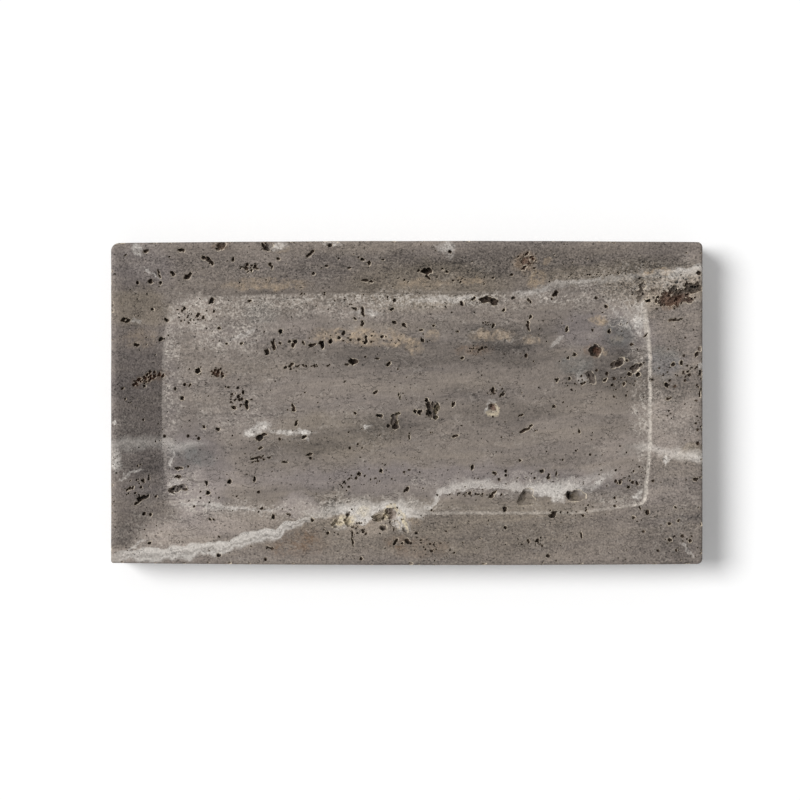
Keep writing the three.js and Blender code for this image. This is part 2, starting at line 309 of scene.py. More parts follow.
# Pores read from the photo: x, y, length, width, turn in degrees of the long side from +X
PORES = [
    (-145.5, 84.5, 3.5, 2.2, 15), (-156.7, 82.4, 1.3, 1, 0), (-125.8, 85.2, 4, 2.8, 0),
    (-122, 71, 5, 2.2, 55), (-142.8, 67.7, 2.8, 2.4, 100), (-150, 67, 1.7, 1.4, 0),
    (-137.5, 71.8, 4, 1.2, 100), (-137.2, 66.8, 2.2, 1.6, 90), (-130.5, 72, 3, 2, 120),
    (-123.8, 52.8, 2, 1.4, 0), (-141.8, 52.3, 1.8, 1.3, 0), (-156.5, 46.3, 5, 2, 25),
    (-134, 46.2, 2.2, 1.5, 130), (-116.7, 48.8, 1.8, 1.4, 40), (-110.8, 79.5, 7.5, 1.8, 130),
    (-104.3, 85.6, 4, 1.5, 10), (-102.3, 88.5, 3.5, 1.8, 80), (-96.8, 79.8, 2.4, 1.2, 75),
    (-91.2, 75.6, 3.4, 1.2, 5), (-89, 76.8, 3, 1.5, 50), (-86.6, 73.8, 2, 1.6, 90),
    (-75.7, 76.3, 3.5, 1.4, 90), (-71.7, 80.5, 1.9, 1.6, 20), (-80, 88, 3, 2, 120),
    (-78, 85.8, 4, 2, 150), (-108.9, 56.8, 4, 2, 70), (-87.5, 57, 2, 1.5, 0), (-54, 83.5, 5, 2, 45),
    (-44.7, 76.3, 1.8, 1.6, 0), (-52.1, 72.1, 1.8, 1.6, 0), (-42.8, 88, 2.5, 2.5, 60),
    (-24.8, 80, 2.3, 2, 40), (-21, 77.8, 2.6, 1.4, 80), (-31.9, 75.2, 1.6, 1.3, 0),
    (-23.2, 67.8, 3.4, 1.5, 5), (-19.8, 67.6, 2.2, 1.3, 0), (-13.2, 79.8, 1.8, 1.4, 0),
    (-28.8, 52.5, 3.2, 2, 160), (-24.7, 50.8, 4, 1.2, 115), (-28.8, 47, 2.4, 1.3, 140),
    (-6.8, 57.2, 1.6, 1.3, 0), (-8.3, 52.3, 2.5, 1.7, 30), (11, 73.5, 4.8, 4, 45),
    (6.5, 73.5, 2.5, 2, 60), (20, 74.8, 1.8, 1.2, 140), (22.3, 73.2, 2, 1.5, 150),
    (24.1, 84.1, 1.6, 1.6, 0), (12, 70, 3, 1, 130), (48.2, 69.7, 1.4, 1.3, 0), (37.3, 58.2, 2.6, 2, 20),
    (46.3, 57.2, 8.5, 2.6, 0), (41.5, 57.8, 2.5, 1.5, 0), (30.6, 55.5, 2.6, 2, 120),
    (54.2, 51.9, 1.8, 1.3, 70), (67, 83, 2.6, 1.4, 50), (65.3, 75.2, 3, 1.2, 25),
    (58.4, 71.3, 1.6, 1.4, 90), (83, 61, 4, 2.2, 40), (59.4, 58.6, 1.6, 1.6, 0), (68.3, 57, 3, 1.2, 110),
    (69.2, 48, 2.4, 1.6, 70), (105.6, 58.5, 1.6, 1.4, 0), (110.9, 53.8, 1.8, 1.8, 0),
    (139, 57, 2.5, 1.5, 90), (147.5, 63, 5, 2, 60), (150.3, 56.8, 5.5, 3.5, 90), (143, 57, 5, 1.5, 65),
    (156, 64.5, 5, 2, 100), (157, 66, 4, 1.5, 0), (155.5, 60, 4, 2, 120), (163, 64.2, 4, 2, 10),
    (160.5, 66.2, 4, 1.5, 30), (163, 72.5, 3.5, 2.5, 0), (148, 46.5, 4, 1.2, 10), (152, 46.6, 3, 1, 0),
    (-136.8, 35.6, 3.6, 1.9, 30), (-150.4, 32.3, 3, 1.3, 15), (-151, 10.8, 2.6, 1.6, 30),
    (-149, 13, 2.4, 1.4, 50), (-146.3, 14.3, 1.8, 1.4, 0), (-144.4, 15.8, 2.2, 1.6, 50),
    (-140, 15.2, 2, 1.3, 50), (-137.8, 16.3, 2, 1, 40), (-136, 15, 2.4, 1.2, 50),
    (-116.5, 17.8, 3.2, 2.4, 110), (-123.8, 10.2, 1.2, 1.2, 0), (-121, 9.8, 2.2, 1, 55),
    (-129, 8, 2.2, 1.1, 70), (-125.1, 2.7, 2.4, 1.2, 90), (-70.4, 40, 2.6, 2.4, 0),
    (-74, 32.5, 4.2, 1.5, 110), (-70.5, 33.3, 2.2, 1.3, 140), (-62.2, 34.4, 2.6, 2, 0),
    (-63.3, 32.2, 2.8, 1.9, 90), (-65.2, 34.2, 1.8, 1.5, 0), (-57.7, 33.6, 2.4, 1.4, 110),
    (-77.9, 28.3, 3.4, 1.9, 95), (-100.4, 33.2, 2.2, 1.3, 10), (-92, 33.2, 2, 1.1, 20),
    (-104.5, 41.8, 2.2, 1.3, 150), (-107, 18.3, 1.2, 1.2, 0), (-105, 17.5, 2, 1.4, 90),
    (-107.5, 16.5, 1.3, 1.3, 0), (-106.2, 15.3, 2, 1, 0), (-64.5, 21.2, 3, 1, 25),
    (-67.7, 19.5, 2, 1, 20), (-91.2, 6, 1.5, 1.5, 0), (-92.5, 2, 2.4, 1, 140), (-89, 0.8, 2.5, 1.2, 140),
    (-53.1, 32.2, 4, 2, 20), (-47.1, 33, 3.2, 2.9, 0), (-42.6, 34.4, 2.3, 2.2, 0),
    (-37.8, 36.4, 2.2, 1.4, 0), (-35.3, 39, 2.4, 1, 70), (-22.6, 35.5, 4.2, 1.4, 70),
    (-13.7, 37, 2.6, 1.3, 50), (-24.4, 44.5, 3, 1.2, 70), (-1.5, 43.3, 3, 1.8, 140), (-7, 45, 2.5, 2, 0),
    (-30.2, 23, 3.8, 3.4, 90), (-33.3, 21.3, 2.4, 1.3, 10), (-16.5, 24.8, 2.6, 1.2, 0),
    (-10, 21.8, 3, 2.4, 50), (-43.9, 20.7, 1.3, 1.1, 0), (-17.3, 6, 2.6, 1, 50), (-4.2, 4, 3.2, 0.9, 90),
    (8, 40.6, 2.2, 1.6, 0), (14.8, 43, 1.8, 1.4, 0), (8.6, 35.2, 2.8, 1.5, 110),
    (28.4, 39.9, 1.8, 1.1, 20), (48.2, 43, 2.4, 1.6, 70), (31, 25, 2, 1.6, 50), (42, 30.5, 1.7, 1.3, 90),
    (48, 7.2, 2.8, 2, 80), (53, 5, 2.6, 1.1, 30), (11, 1.5, 2.6, 1.6, 90), (66.4, 26.4, 1.5, 1.2, 0),
    (67.8, 43, 5.5, 1.4, 115), (88.8, 41.5, 3, 1.3, 80), (103.5, 40.6, 1.6, 1.1, 90),
    (105.7, 29.5, 5.6, 4.6, 90), (93.5, 26.8, 2.3, 1.6, 0), (90, 25.2, 1.8, 1.2, 60),
    (83.6, 12.8, 2.6, 2, 60), (90.8, 13.5, 2, 1.6, 90), (98.6, 10.8, 2.8, 1.2, 45),
    (110.5, 12.8, 3, 1.5, 45), (125.4, 32.7, 1.6, 1.5, 0), (112.8, 40, 2.5, 2, 90),
    (133.2, 37.7, 2.6, 1.2, 45), (118, 22.5, 4.5, 2, 35), (122.7, 23.7, 1.8, 1.2, 30),
    (129, 20.5, 5, 1.4, 45), (129, 16, 2.5, 2.5, 0), (124.3, 15.9, 2.4, 2.4, 0), (121, 10.8, 2, 1.1, 75),
    (114.6, 10, 1.5, 1.3, 90), (136.5, 13, 2.6, 1.3, 170), (148.5, 21.5, 2.4, 2, 0), (153, 22.5, 2, 2, 0),
    (156.5, 17.5, 2, 1.2, 20), (144.6, 10.2, 3, 2.2, 20), (146, 2.4, 3, 1.2, 30), (163.8, 17, 3, 1.5, 90),
    (161.5, 27, 3, 1.5, 60), (163.9, 6, 5, 1.2, 90), (-146.7, -9.3, 1.3, 1.2, 0),
    (-135, -18.5, 1.5, 1.5, 0), (-121.8, -18.4, 1.3, 1.1, 0), (-116, -19.8, 1.4, 1.2, 0),
    (-113, -13.5, 2.6, 1.6, 120), (-127.3, -41.2, 3, 1.3, 15), (-147, -43.3, 2.2, 1.5, 0),
    (-127, -36.3, 4, 1.4, 170), (-105.3, -14.5, 2.4, 1.6, 60), (-96.5, -2.6, 3.2, 1.6, 150),
    (-88.5, -1, 4.5, 1.8, 85), (-80.8, -18.2, 5.6, 2.2, 20), (-57, -19, 3, 2.2, 30),
    (-61.5, -11.4, 3.2, 1.4, 50), (-63.2, -2.5, 4.4, 1.2, 110), (-67.9, -33, 2.6, 1.8, 0),
    (-84.5, -31, 4.5, 1.4, 10), (-81.5, -25.3, 2.5, 1, 20), (-84.9, -42.6, 2.6, 1.6, 90),
    (-99, -44, 2.4, 2, 0), (-111.6, -44.5, 3, 1.6, 90), (-54.5, -28.6, 3.6, 1.8, 10),
    (-53.6, -30.8, 1.4, 1.4, 0), (-28.7, -5.7, 1.8, 1.7, 0), (-15.6, -7, 4, 2.8, 160),
    (-7.8, -6.8, 2.5, 1.5, 50), (-5, -6, 3, 1.4, 10), (-6.5, -10.5, 4, 1.6, 90),
    (-6.3, -13.5, 3.6, 2.4, 0), (-10.2, -12.8, 1.6, 1.6, 0), (-31.7, -25.1, 1.2, 1.1, 0),
    (-14.4, -37.8, 2.2, 2, 90), (-26.6, -39.4, 2, 1.4, 20), (4.5, -4.8, 2.4, 2, 130),
    (7.3, -5, 3.2, 2.2, 50), (13, -3.5, 7, 2.4, 90), (16.5, -3.5, 6, 2.5, 90), (16, -8, 3, 2, 60),
    (26, -1, 3, 1.6, 70), (1.4, -18.8, 2.4, 1.1, 90), (26.8, -18.2, 3, 1.1, 20),
    (36.6, -35.8, 2.4, 1.5, 80), (48.9, -38.9, 2, 1.5, 0), (55.2, -38, 1.2, 1.2, 0),
    (47.4, -1.4, 2.4, 1.6, 0), (63.6, -7, 2.8, 1, 20), (82, -2, 2, 1.2, 20), (66.5, -14.5, 8.5, 1.3, 28),
    (96.2, -15.8, 2.6, 1.4, 100), (63.2, -32, 1.8, 1.4, 0), (102.3, -28.9, 1.2, 1.2, 0),
    (75.5, -38.3, 2.2, 1.4, 30), (79.3, -41, 3, 1.2, 60), (83.4, -39.6, 2.8, 1.3, 75),
    (118.9, -44.3, 2.4, 1.5, 90), (128.5, -45, 2, 1.5, 90), (137.2, -43.4, 1.3, 1.1, 0),
    (161, -42.6, 3, 1.8, 20), (162, -22.7, 1.4, 1.4, 0), (-147.8, -53.7, 9.5, 2, 27),
    (-154, -47.8, 4.5, 0.9, 35), (-131, -48.8, 3, 2, 40), (-127, -47.4, 3.4, 1.4, 20),
    (-123.5, -48, 3, 1.5, 0), (-146.3, -61.7, 1.6, 1.4, 90), (-142.7, -62.3, 2, 1.2, 40),
    (-143.3, -77.8, 2.2, 1.3, 30), (-104.9, -84.7, 2.6, 1.5, 170), (-109.7, -64.7, 2.2, 1.2, 150),
    (-110.8, -50, 2.6, 2, 60), (-82.7, -49.7, 1.4, 1.2, 0), (-80.8, -58.9, 1.4, 1.1, 0),
    (-74.4, -63.3, 2.8, 1.5, 90), (-66.2, -61.9, 1.8, 1, 0), (-76.5, -80.6, 3, 1, 160),
    (-74.9, -80.9, 1.4, 1.4, 0), (-78.7, -87, 1.2, 1.1, 0), (-38.5, -66.5, 5, 1.2, 15),
    (-33.3, -63.5, 5, 1.3, 50), (-11.5, -62, 5, 1.6, 55), (-8, -59.3, 4, 1.4, 0),
    (-13, -69.3, 3.6, 2.8, 0), (-16, -65, 4, 2, 0), (-52.6, -65.3, 2.6, 1.6, 90),
    (-44, -72.3, 2.2, 1.3, 90), (-30.3, -75.5, 9, 0.7, 93), (-6, -77.5, 4, 1.3, 45),
    (-2.5, -78, 1.8, 1.6, 90), (-25.4, -86.5, 1.8, 1.2, 90), (-0.5, -48.5, 3.5, 1.4, 60),
    (47.9, -51, 4.5, 1.5, 30), (35, -50.3, 2, 1.3, 20), (54.8, -59.3, 3, 2, 90), (54.9, -69.2, 2, 1.6, 0),
    (5.4, -72.3, 1.6, 1.5, 0), (0.5, -77, 3.5, 2, 120), (26.4, -83.4, 1.8, 1.3, 20),
    (90.4, -51.6, 3, 4.4, 0), (82, -62, 4.5, 2, 40), (98.2, -62.4, 2, 1.2, 150),
    (67.6, -76.8, 2.8, 1.3, 105), (72.9, -76.6, 3, 1.5, 70), (75.6, -79.5, 1.3, 1.1, 0),
    (78.8, -85, 1.6, 1.3, 20), (97, -73.8, 3, 1, 95), (146.5, -67.3, 1.8, 1.8, 0),
    (157.8, -76.9, 1.9, 1.8, 0), (140, -82.2, 1.5, 1.4, 0), (150.2, -82, 1.5, 1.3, 60),
    (153.6, -74.2, 1.5, 1.2, 0), (146.8, -76.2, 2.8, 1.4, 160), (132.1, -71.5, 1.4, 0.9, 0),
    (134, -61, 2.4, 1.8, 90), (126.5, -63.8, 1.9, 1.3, 0), (130, -58.3, 2.6, 1.2, 115),
    (149.7, -58.1, 1.8, 1.3, 130), (151.3, -65.7, 2.2, 1.1, 65), (123.6, -46.8, 1.9, 1.4, 0),
    (116, -52.8, 1.2, 1.2, 0),
]

# Broad ragged hollows: x, y, length, width, turn, depth, and how much painted shade they get as a share of a
# pore's
HOLLOWS = [
    (151, 58.5, 13, 6.2, 15, 3.2, 0.6), (147.5, 57.6, 6.4, 4.2, 15, 2.6, 0.5),
    (153, 59.4, 5.6, 4, 20, 3, 0.8), (150.4, 61, 4.2, 2.6, 50, 2.2, 0.7),
    (131.5, 65, 5, 3, 60, 1.8, 0.35), (130.4, 58.6, 4.5, 3.5, 60, 2, 0.45),
    (160, 63.6, 9, 5.6, 20, 2.8, 0.75), (144.4, 58, 7, 4.5, 10, 2.4, 0.5),
    (148.4, 63.4, 6, 4.4, 60, 2.2, 0.5), (131.6, 61, 6.4, 7, 10, 2, 0.3), (156, 57, 7, 3.4, 0, 2.4, 0.6),
    (139, 62, 7, 4, 20, 1.2, 0.3), (103, 14.5, 7.5, 4.5, 125, 1.4, 0.45),
    (67, -52.6, 10.4, 9.6, 0, 2.6, 0.05), (94.2, -52, 11.2, 7.2, 0, 3.2, 0.28),
    (105.7, 29.5, 6.4, 5.6, 90, 3, 0.75), (-8, -61.8, 6.5, 6, 40, 1.9, 0.05),
    (-16, -63.3, 7, 4, 10, 1.8, 0.3), (-38.5, -68, 6, 4.6, 15, 1.7, 0.05),
    (-32, -66.5, 5.5, 5, 60, 1.8, 0.05), (-12.8, -69.6, 4.2, 3.8, 0, 1.6, 0.55),
    (-6, -68, 6, 4, 150, 1.3, 0.05), (-1, -70.5, 4, 3.4, 120, 1.4, 0.1), (-76.5, 88, 5.5, 4, 140, 2, 0.5),
    (-103, 88, 6, 4, 60, 2.2, 0.7), (-43, 89.5, 8, 2.5, 0, 1, 0.3), (163.5, 30, 3, 3.5, 90, 1, 0.7),
    (164, 16, 3, 4, 90, 1, 0.7), (14.5, -4, 8.5, 6, 90, 2.2, 0.55), (-7, -10, 8, 5.4, 90, 1.7, 0.45),
    (48, -2.5, 5, 4.2, 0, 1.6, 0.35), (118, 21.5, 8, 4, 35, 1.4, 0.5), (127.5, 19.5, 6, 4, 45, 1.5, 0.6),
    (66, 79, 7, 4, 50, 0.9, 0.3), (-127.5, -47.4, 8, 3, 12, 1.6, 0.7),
]

# Wells that go deeper in the floors of the hollows: x, y, length, width, turn, depth
WELLS = [
    (152, 59.3, 2.6, 2, 20, 4.4), (148.6, 57.2, 2, 1.6, 0, 4), (155.4, 61, 3, 1.6, 25, 4),
    (145.6, 59.8, 1.8, 1.4, 0, 3.6), (158.6, 58.2, 2.4, 1.4, 30, 3.4), (159.5, 64.8, 3.4, 1.6, 20, 4),
    (163, 65.4, 2.6, 1.6, 10, 3.8), (149.8, 63.2, 2.2, 1.4, 60, 3.4), (104.6, 29.8, 3, 2.6, 0, 4.2),
    (91, -51.4, 4.4, 4.2, 0, 4.2), (149.8, 58, 2.8, 3.6, 0, 4.6), (47, 57.4, 5, 2, 0, 3.2),
    (13.4, -5.6, 3, 2.6, 90, 3.8), (16, -2.4, 2.4, 2, 60, 3.6), (-6.4, -12.4, 3, 2.4, 0, 3),
    (131.6, 60.4, 2.2, 3.4, 10, 3.2), (134.4, 57.2, 3, 1.6, 0, 3), (-130, -48, 2.6, 1.6, 20, 3),
    (-125.6, -46.8, 2.4, 1.4, 10, 3), (117, 22.2, 2.4, 1.4, 35, 2.8), (126.6, 20.6, 2.4, 1.4, 45, 2.8),
    (101.8, 15.4, 2.2, 1.4, 125, 2.8), (47.4, -1.8, 2.2, 1.8, 0, 2.6),
]

# Swarms of small pores: x, y, reach along, reach across, turn, how many, typical length
SWARMS = [
    (-144, 13.5, 10, 2.4, 20, 46, 1.5), (-106, 17, 4, 2.4, 0, 26, 1.4), (-58, 20.8, 15, 1, 3, 26, 1.1),
    (-119, 49, 11, 6, 10, 36, 1.1), (-86, 75.5, 6, 2.5, 0, 14, 1.4), (67, 79.5, 5, 5, 50, 26, 1.3),
    (45, 43, 3.5, 2.5, 0, 12, 1.1), (39, 30, 6, 2, 0, 16, 1.1), (148, 60, 15, 6, 12, 46, 1.9),
    (131, 61, 6, 5, 0, 9, 1.3), (152, 17, 10, 9, 30, 26, 1.3), (121, 14, 12, 7, 30, 22, 1.4),
    (-33, -44, 8, 4, 20, 18, 1.3), (-15, -41, 14, 5, 10, 14, 1.1), (-82, -31, 7, 2, 8, 16, 1.3),
    (123, -42, 9, 5, 0, 18, 1.2), (12, -80, 14, 6, 0, 22, 1.2), (70, -77, 8, 4, 0, 12, 1.2),
    (149, -74, 12, 9, 0, 14, 1.2), (-130, -49, 6, 2.5, 15, 18, 1.6), (50, 6, 6, 3, 20, 12, 1.2),
    (96, 12, 18, 4, 15, 20, 1.3), (-25, 36, 30, 4, 0, 30, 1.2), (20, 70, 22, 4, 0, 18, 1.2),
    (-30, 60, 40, 4, 0, 16, 1.1), (-95, 4, 12, 6, 130, 20, 1.2), (-20, -68, 26, 5, 5, 30, 1.4),
    (108, 72, 28, 1.2, 3, 26, 0.9), (60, -41, 30, 3, 0, 14, 1.1), (35, -51, 14, 1, 0, 24, 1.3),
    (96, -60, 14, 3, 10, 16, 1.1), (162, 5, 2, 30, 0, 16, 1.2), (-147, -46, 8, 6, 30, 14, 1.2),
]

# Pores scattered besides those on the top, the walls and the underside, and chips along the rim: how many
FINE_TOP = 680
FINE_WALLS = 220
FINE_UNDER = 220
CHIPS = 90

# Their typical lengths
TOP_LENGTH = 0.85
WALL_LENGTH = 1.7
UNDER_LENGTH = 1.9
CHIP_LENGTH = 1.8

# Small pores: the range of length about the typical one, of width as a share of that, and of turn in degrees
LEAST_LENGTH, MORE_LENGTH = 0.6, 0.9
FINE_WIDTHS = (0.45, 0.95)
FINE_TURNS = (-25, 75)

# Layers that the scatter keeps to: their length, thickness and slope, and how strictly they are kept
LAYER_LENGTH, LAYER_TALL, LAYER_SLOPE = 45, 7, 0.06
LAYER_LIMITS = (-0.45, 0.25)

# How much larger a pore is cut than its dark part in the photo
PORE_LONGER = 0.2
PORE_WIDER, PORE_WIDENED = 1.1, 0.3

# How tightly a swarm keeps to its middle, as a share of its reach
SWARM_SPREAD = 0.5

# Chips: how far below the rim, and how deep
CHIP_DROPS = (0.2, 1.2)
CHIP_DEPTH, CHIP_DEEPER = 0.35, 0.3

# Where rays that look for a face start: above or below it, beside the long sides and beside the short sides
RAY_ABOVE = 50
RAY_SIDE = 150
RAY_END = 250

# A long pore is a row of wells: the most of them, how far their count and their row fall short of its
# length in widths, how far they step aside, their widths and their overlap
MOST_WELLS = 5
WELL_SLACK = 0.3
WELL_INSET = 1.2
WELL_ASIDE = 0.38
WELL_WIDTHS = (0.68, 1.2)
WELL_OVERLAP = 1.5

# Depth of a pore without a given one: a least depth and a share of its width
LEAST_DEPTH, DEPTH_SHARE = 0.6, 0.7

# A pore's lip: how far its mouth opens out beyond its throat, at most and as a share of its width, and how
# deep the throat starts
LIP_REACH = 0.42
LIP_SHARE = 0.3
LIP_DEPTH = 0.32

# A cutter's top: how far above the face, the share of the width added, and how much wider it flares
CUTTER_ABOVE, CUTTER_SHARE, CUTTER_FLARE = 0.3, 0.3, 1.1
FACE_ABOVE = 0.03

# A pore shorter than this is cut with fewer sides, and others have more the longer they are
SMALL_PORE = 2.0
SMALL_SIDES = 6
LEAST_SIDES, MORE_SIDES, SIDES_PER_LENGTH = 4, 15, 2.5

# Rings of a small pore, a pore and a broad hollow below the throat: share of the depth, share of the mouth
SMALL_RINGS = ((1.0, 0.6),)
PORE_RINGS = ((0.6, 0.92), (1.0, 0.5))
HOLLOW_RINGS = ((0.4, 0.9), (0.75, 0.7), (0.95, 0.42))

# How much deeper a broad hollow is at its left side than in its middle, as a share
HOLLOW_TILT = 0.6

# Unevenness of a pore and of a broad hollow: of the corners, of the outline, and of the floor
PORE_JAG, HOLLOW_JAG = 0.14, 0.04
PORE_WANDER, HOLLOW_WANDER = 0.55, 0.48
FLOOR_UNEVEN = 0.35

# The outline wanders in broad and fine lobes, and the fine ones reach less
BROAD_LOBES, FINE_LOBES, FINE_LOBE_SHARE = 1.2, 2.9, 0.64

# No two pores are alike, because each reads the noise at its own place within this span
NOISE_SPAN = 99

# Reach of a hollow's own painted shade: its share of the length, where it starts to fade and over what share,
# and how far below the hollow's floor a well gets a pore's full painted shade
SHADE_REACH, SHADE_END, SHADE_FADE = 0.62, 1.2, 0.3
WELL_FADE = 0.8

# Points above this height are measured from the floor's edge, and the others get a far distance
BASIN_LOW = FLOOR_Z - 6
FAR_OUTSIDE = -50.0

# A point this far below the uncut face is inside a pore
OPEN_DEPTH = 0.05
STONE_SHARP = math.radians(38)


def new_object(name, mesh):
    """A mesh object in the scene."""
    piece = bpy.data.objects.new(name, mesh)
    bpy.context.scene.collection.objects.link(piece)
    return piece


def mesh_from(name, points, faces):
    """A mesh from points in millimetres."""
    mesh = bpy.data.meshes.new(name)
    mesh.from_pydata([point * MM for point in points], [], faces)
    mesh.update()
    return mesh


def face_axes(normal, turn):
    """Directions along and across a pore on a face, where turn is from +X, or from the level on a wall."""
    level = Vector((1, 0, 0)) if abs(normal.z) > 0.5 else Vector((0, 0, 1)).cross(normal)
    level = (level - normal * level.dot(normal)).normalized()
    across = normal.cross(level)
    along = level * math.cos(turn) + across * math.sin(turn)
    return along, normal.cross(along)


def pore_cutter(site, axes, length, width, depth, rings, sides):
    """A ragged well that cuts one pore: a mouth with a flared lip, a throat and a smaller floor."""
    along, across, normal = axes
    offset = Vector([random.uniform(-NOISE_SPAN, NOISE_SPAN) for _ in range(3)])
    lip = min(LIP_REACH, LIP_SHARE * width)
    top = CUTTER_ABOVE + CUTTER_SHARE * width
    levels = [(top, 1.0, lip * CUTTER_FLARE), (FACE_ABOVE, 1.0, lip)]
    if rings is not SMALL_RINGS:
        levels.append((-LIP_DEPTH, 1.0, 0.0))
    levels += [(-share * max(depth, 2 * LIP_DEPTH), mouth, 0.0) for share, mouth in rings]
    jag, wander, tilt = PORE_JAG, PORE_WANDER, 0.0
    if rings is HOLLOW_RINGS:
        jag, wander, tilt = HOLLOW_JAG, HOLLOW_WANDER, HOLLOW_TILT
    skew = [random.uniform(1 - jag, 1 + jag) for _ in range(sides)]
    points = []
    for height, mouth, flare in levels:
        for side in range(sides):
            angle = 2 * math.pi * side / sides
            aim = Vector((math.cos(angle), math.sin(angle), 0.25 * height))
            lobes = noise.noise(aim * BROAD_LOBES + offset)
            lobes += FINE_LOBE_SHARE * noise.noise(aim * FINE_LOBES + offset)
            reach = mouth * (1 + wander * lobes) * skew[side]
            spread = along * aim.x * (length / 2 * reach + flare)
            spread += across * aim.y * (width / 2 * reach + flare)
            drop = height
            if height < -LIP_DEPTH:
                drop *= 1 + FLOOR_UNEVEN * noise.noise(aim * 2 - offset)
            drop *= 1 - tilt * spread.x / length * 2
            points.append(site + spread + normal * drop)
    faces = []
    for low in range(0, (len(levels) - 1) * sides, sides):
        for side in range(sides):
            after = (side + 1) % sides
            faces.append((low + after, low + side, low + sides + side, low + sides + after))
    points.append(site + normal * levels[0][0])
    points.append(site + normal * levels[-1][0])
    last = (len(levels) - 1) * sides
    for side in range(sides):
        after = (side + 1) % sides
        faces.append((side, after, len(points) - 2))
        faces.append((last + after, last + side, len(points) - 1))
    return bpy.data.objects.new("pore", mesh_from("pore", points, faces))


def add_pore(cutters, site, normal, length, width, turn, depth=None):
    """Adds the cutters of one pore. A long one is a row of overlapping wells."""
    axes = (*face_axes(normal, turn), normal)
    wells = max(1, min(MOST_WELLS, round(length / width - WELL_SLACK)))
    spread = max(0.0, length - width * WELL_INSET)
    for index in range(wells):
        share = index / (wells - 1) - 0.5 if wells > 1 else 0.0
        aside = random.uniform(-WELL_ASIDE, WELL_ASIDE) * (wells > 1)
        shift = axes[0] * spread * share + axes[1] * width * aside
        piece_width = width * random.uniform(*WELL_WIDTHS)
        piece_length = min(length, max(piece_width, length / wells * WELL_OVERLAP))
        piece_depth = depth or LEAST_DEPTH + DEPTH_SHARE * piece_width
        sides = LEAST_SIDES + min(MORE_SIDES, round(SIDES_PER_LENGTH * piece_length))
        rings = PORE_RINGS if depth is None else HOLLOW_RINGS
        if piece_length < SMALL_PORE:
            sides = SMALL_SIDES
            rings = SMALL_RINGS
        cutters.link(pore_cutter(site + shift, axes, piece_length, piece_width, piece_depth, rings, sides))


def seen_site(block, x, y):
    """The point of the block that the camera sees at a point of the rim's plane, and the face's normal."""
    eye = EYE * MM
    site, normal, _, _ = block.ray_cast(eye, (Vector((x, y, RIM_Z)) * MM - eye).normalized())
    return (site / MM, normal) if site else (None, None)


def seen_pore(block, cutters, x, y, length, width, turn, depth=None):
    """Adds a pore where the camera sees the block at a point of the rim's plane."""
    site, normal = seen_site(block, x, y)
    if site:
        add_pore(cutters, site, normal, length, width, math.radians(turn), depth)


def fine_size(typical):
    """Length, width and turn of a small pore about a typical length."""
    length = typical * (LEAST_LENGTH + MORE_LENGTH * random.random() ** 2)
    return length, length * random.uniform(*FINE_WIDTHS), math.radians(random.uniform(*FINE_TURNS))


def pore_cutters(block, cutters):
    """Makes the cutters of every pore: those in the photo, the swarms, the fine scatter and the chips."""
    for x, y, length, width, turn, depth, *_ in HOLLOWS + WELLS:
        seen_pore(block, cutters, x, y, length, width, turn, depth)
    for x, y, length, width, turn in PORES:
        seen_pore(block, cutters, x, y, length + PORE_LONGER, width * PORE_WIDER + PORE_WIDENED, turn)
    for x, y, reach_x, reach_y, turn, count, typical in SWARMS:
        cosine, sine = math.cos(math.radians(turn)), math.sin(math.radians(turn))
        for _ in range(count):
            along = random.gauss(0, SWARM_SPREAD) * reach_x
            across = random.gauss(0, SWARM_SPREAD) * reach_y
            swarm_x = x + along * cosine - across * sine
            swarm_y = y + along * sine + across * cosine
            site, normal = seen_site(block, swarm_x, swarm_y)
            size = fine_size(typical)
            if site and site.z > FLOOR_Z - 1:
                add_pore(cutters, site, normal, *size)
    scattered_pores(block, cutters)


def scattered_pores(block, cutters):
    """Fine pores in bedded layers on every face, and chips along the rim's edges."""
    made = 0
    while made < FINE_TOP + FINE_UNDER:
        x = random.uniform(-HALF_LENGTH + 1, HALF_LENGTH - 1)
        y = random.uniform(-HALF_WIDTH + 1, HALF_WIDTH - 1)
        layered = Vector((x / LAYER_LENGTH, (y - LAYER_SLOPE * x) / LAYER_TALL, 3.0))
        if noise.noise(layered) < random.uniform(*LAYER_LIMITS):
            continue
        on_top = made < FINE_TOP
        start = Vector((x, y, RIM_Z + RAY_ABOVE if on_top else BASE_Z - RAY_ABOVE))
        site, normal, _, _ = block.ray_cast(start * MM, Vector((0, 0, -1 if on_top else 1)))
        add_pore(cutters, site / MM, normal, *fine_size(TOP_LENGTH if on_top else UNDER_LENGTH))
        made += 1
    for _ in range(FINE_WALLS):
        around = random.uniform(0, 2 * (HALF_LENGTH + HALF_WIDTH))
        site, normal = wall_site(block, around, random.uniform(BASE_Z, RIM_Z))
        size = fine_size(WALL_LENGTH)
        if site:
            add_pore(cutters, site / MM, normal, *size)
    for _ in range(CHIPS):
        around = random.uniform(0, 2 * (HALF_LENGTH + HALF_WIDTH))
        site, normal = wall_site(block, around, RIM_Z - random.uniform(*CHIP_DROPS))
        length, width, _ = fine_size(CHIP_LENGTH)
        if site:
            tilted = (normal + Vector((0, 0, 1))).normalized()
            depth = CHIP_DEPTH + CHIP_DEEPER * random.random()
            add_pore(cutters, site / MM, tilted, length, width, 0.0, depth)


def wall_site(block, around, height):
    """A point on the outer wall, where around runs along a half of its outline on either side."""
    side = random.choice((-1, 1))
    if around < 2 * HALF_LENGTH:
        start = Vector((around - HALF_LENGTH, side * RAY_SIDE, height))
        aim = Vector((0, -side, 0))
    else:
        start = Vector((side * RAY_END, around - 2 * HALF_LENGTH - HALF_WIDTH, height))
        aim = Vector((-side, 0, 0))
    site, normal, _, _ = block.ray_cast(start * MM, aim)
    return site, normal


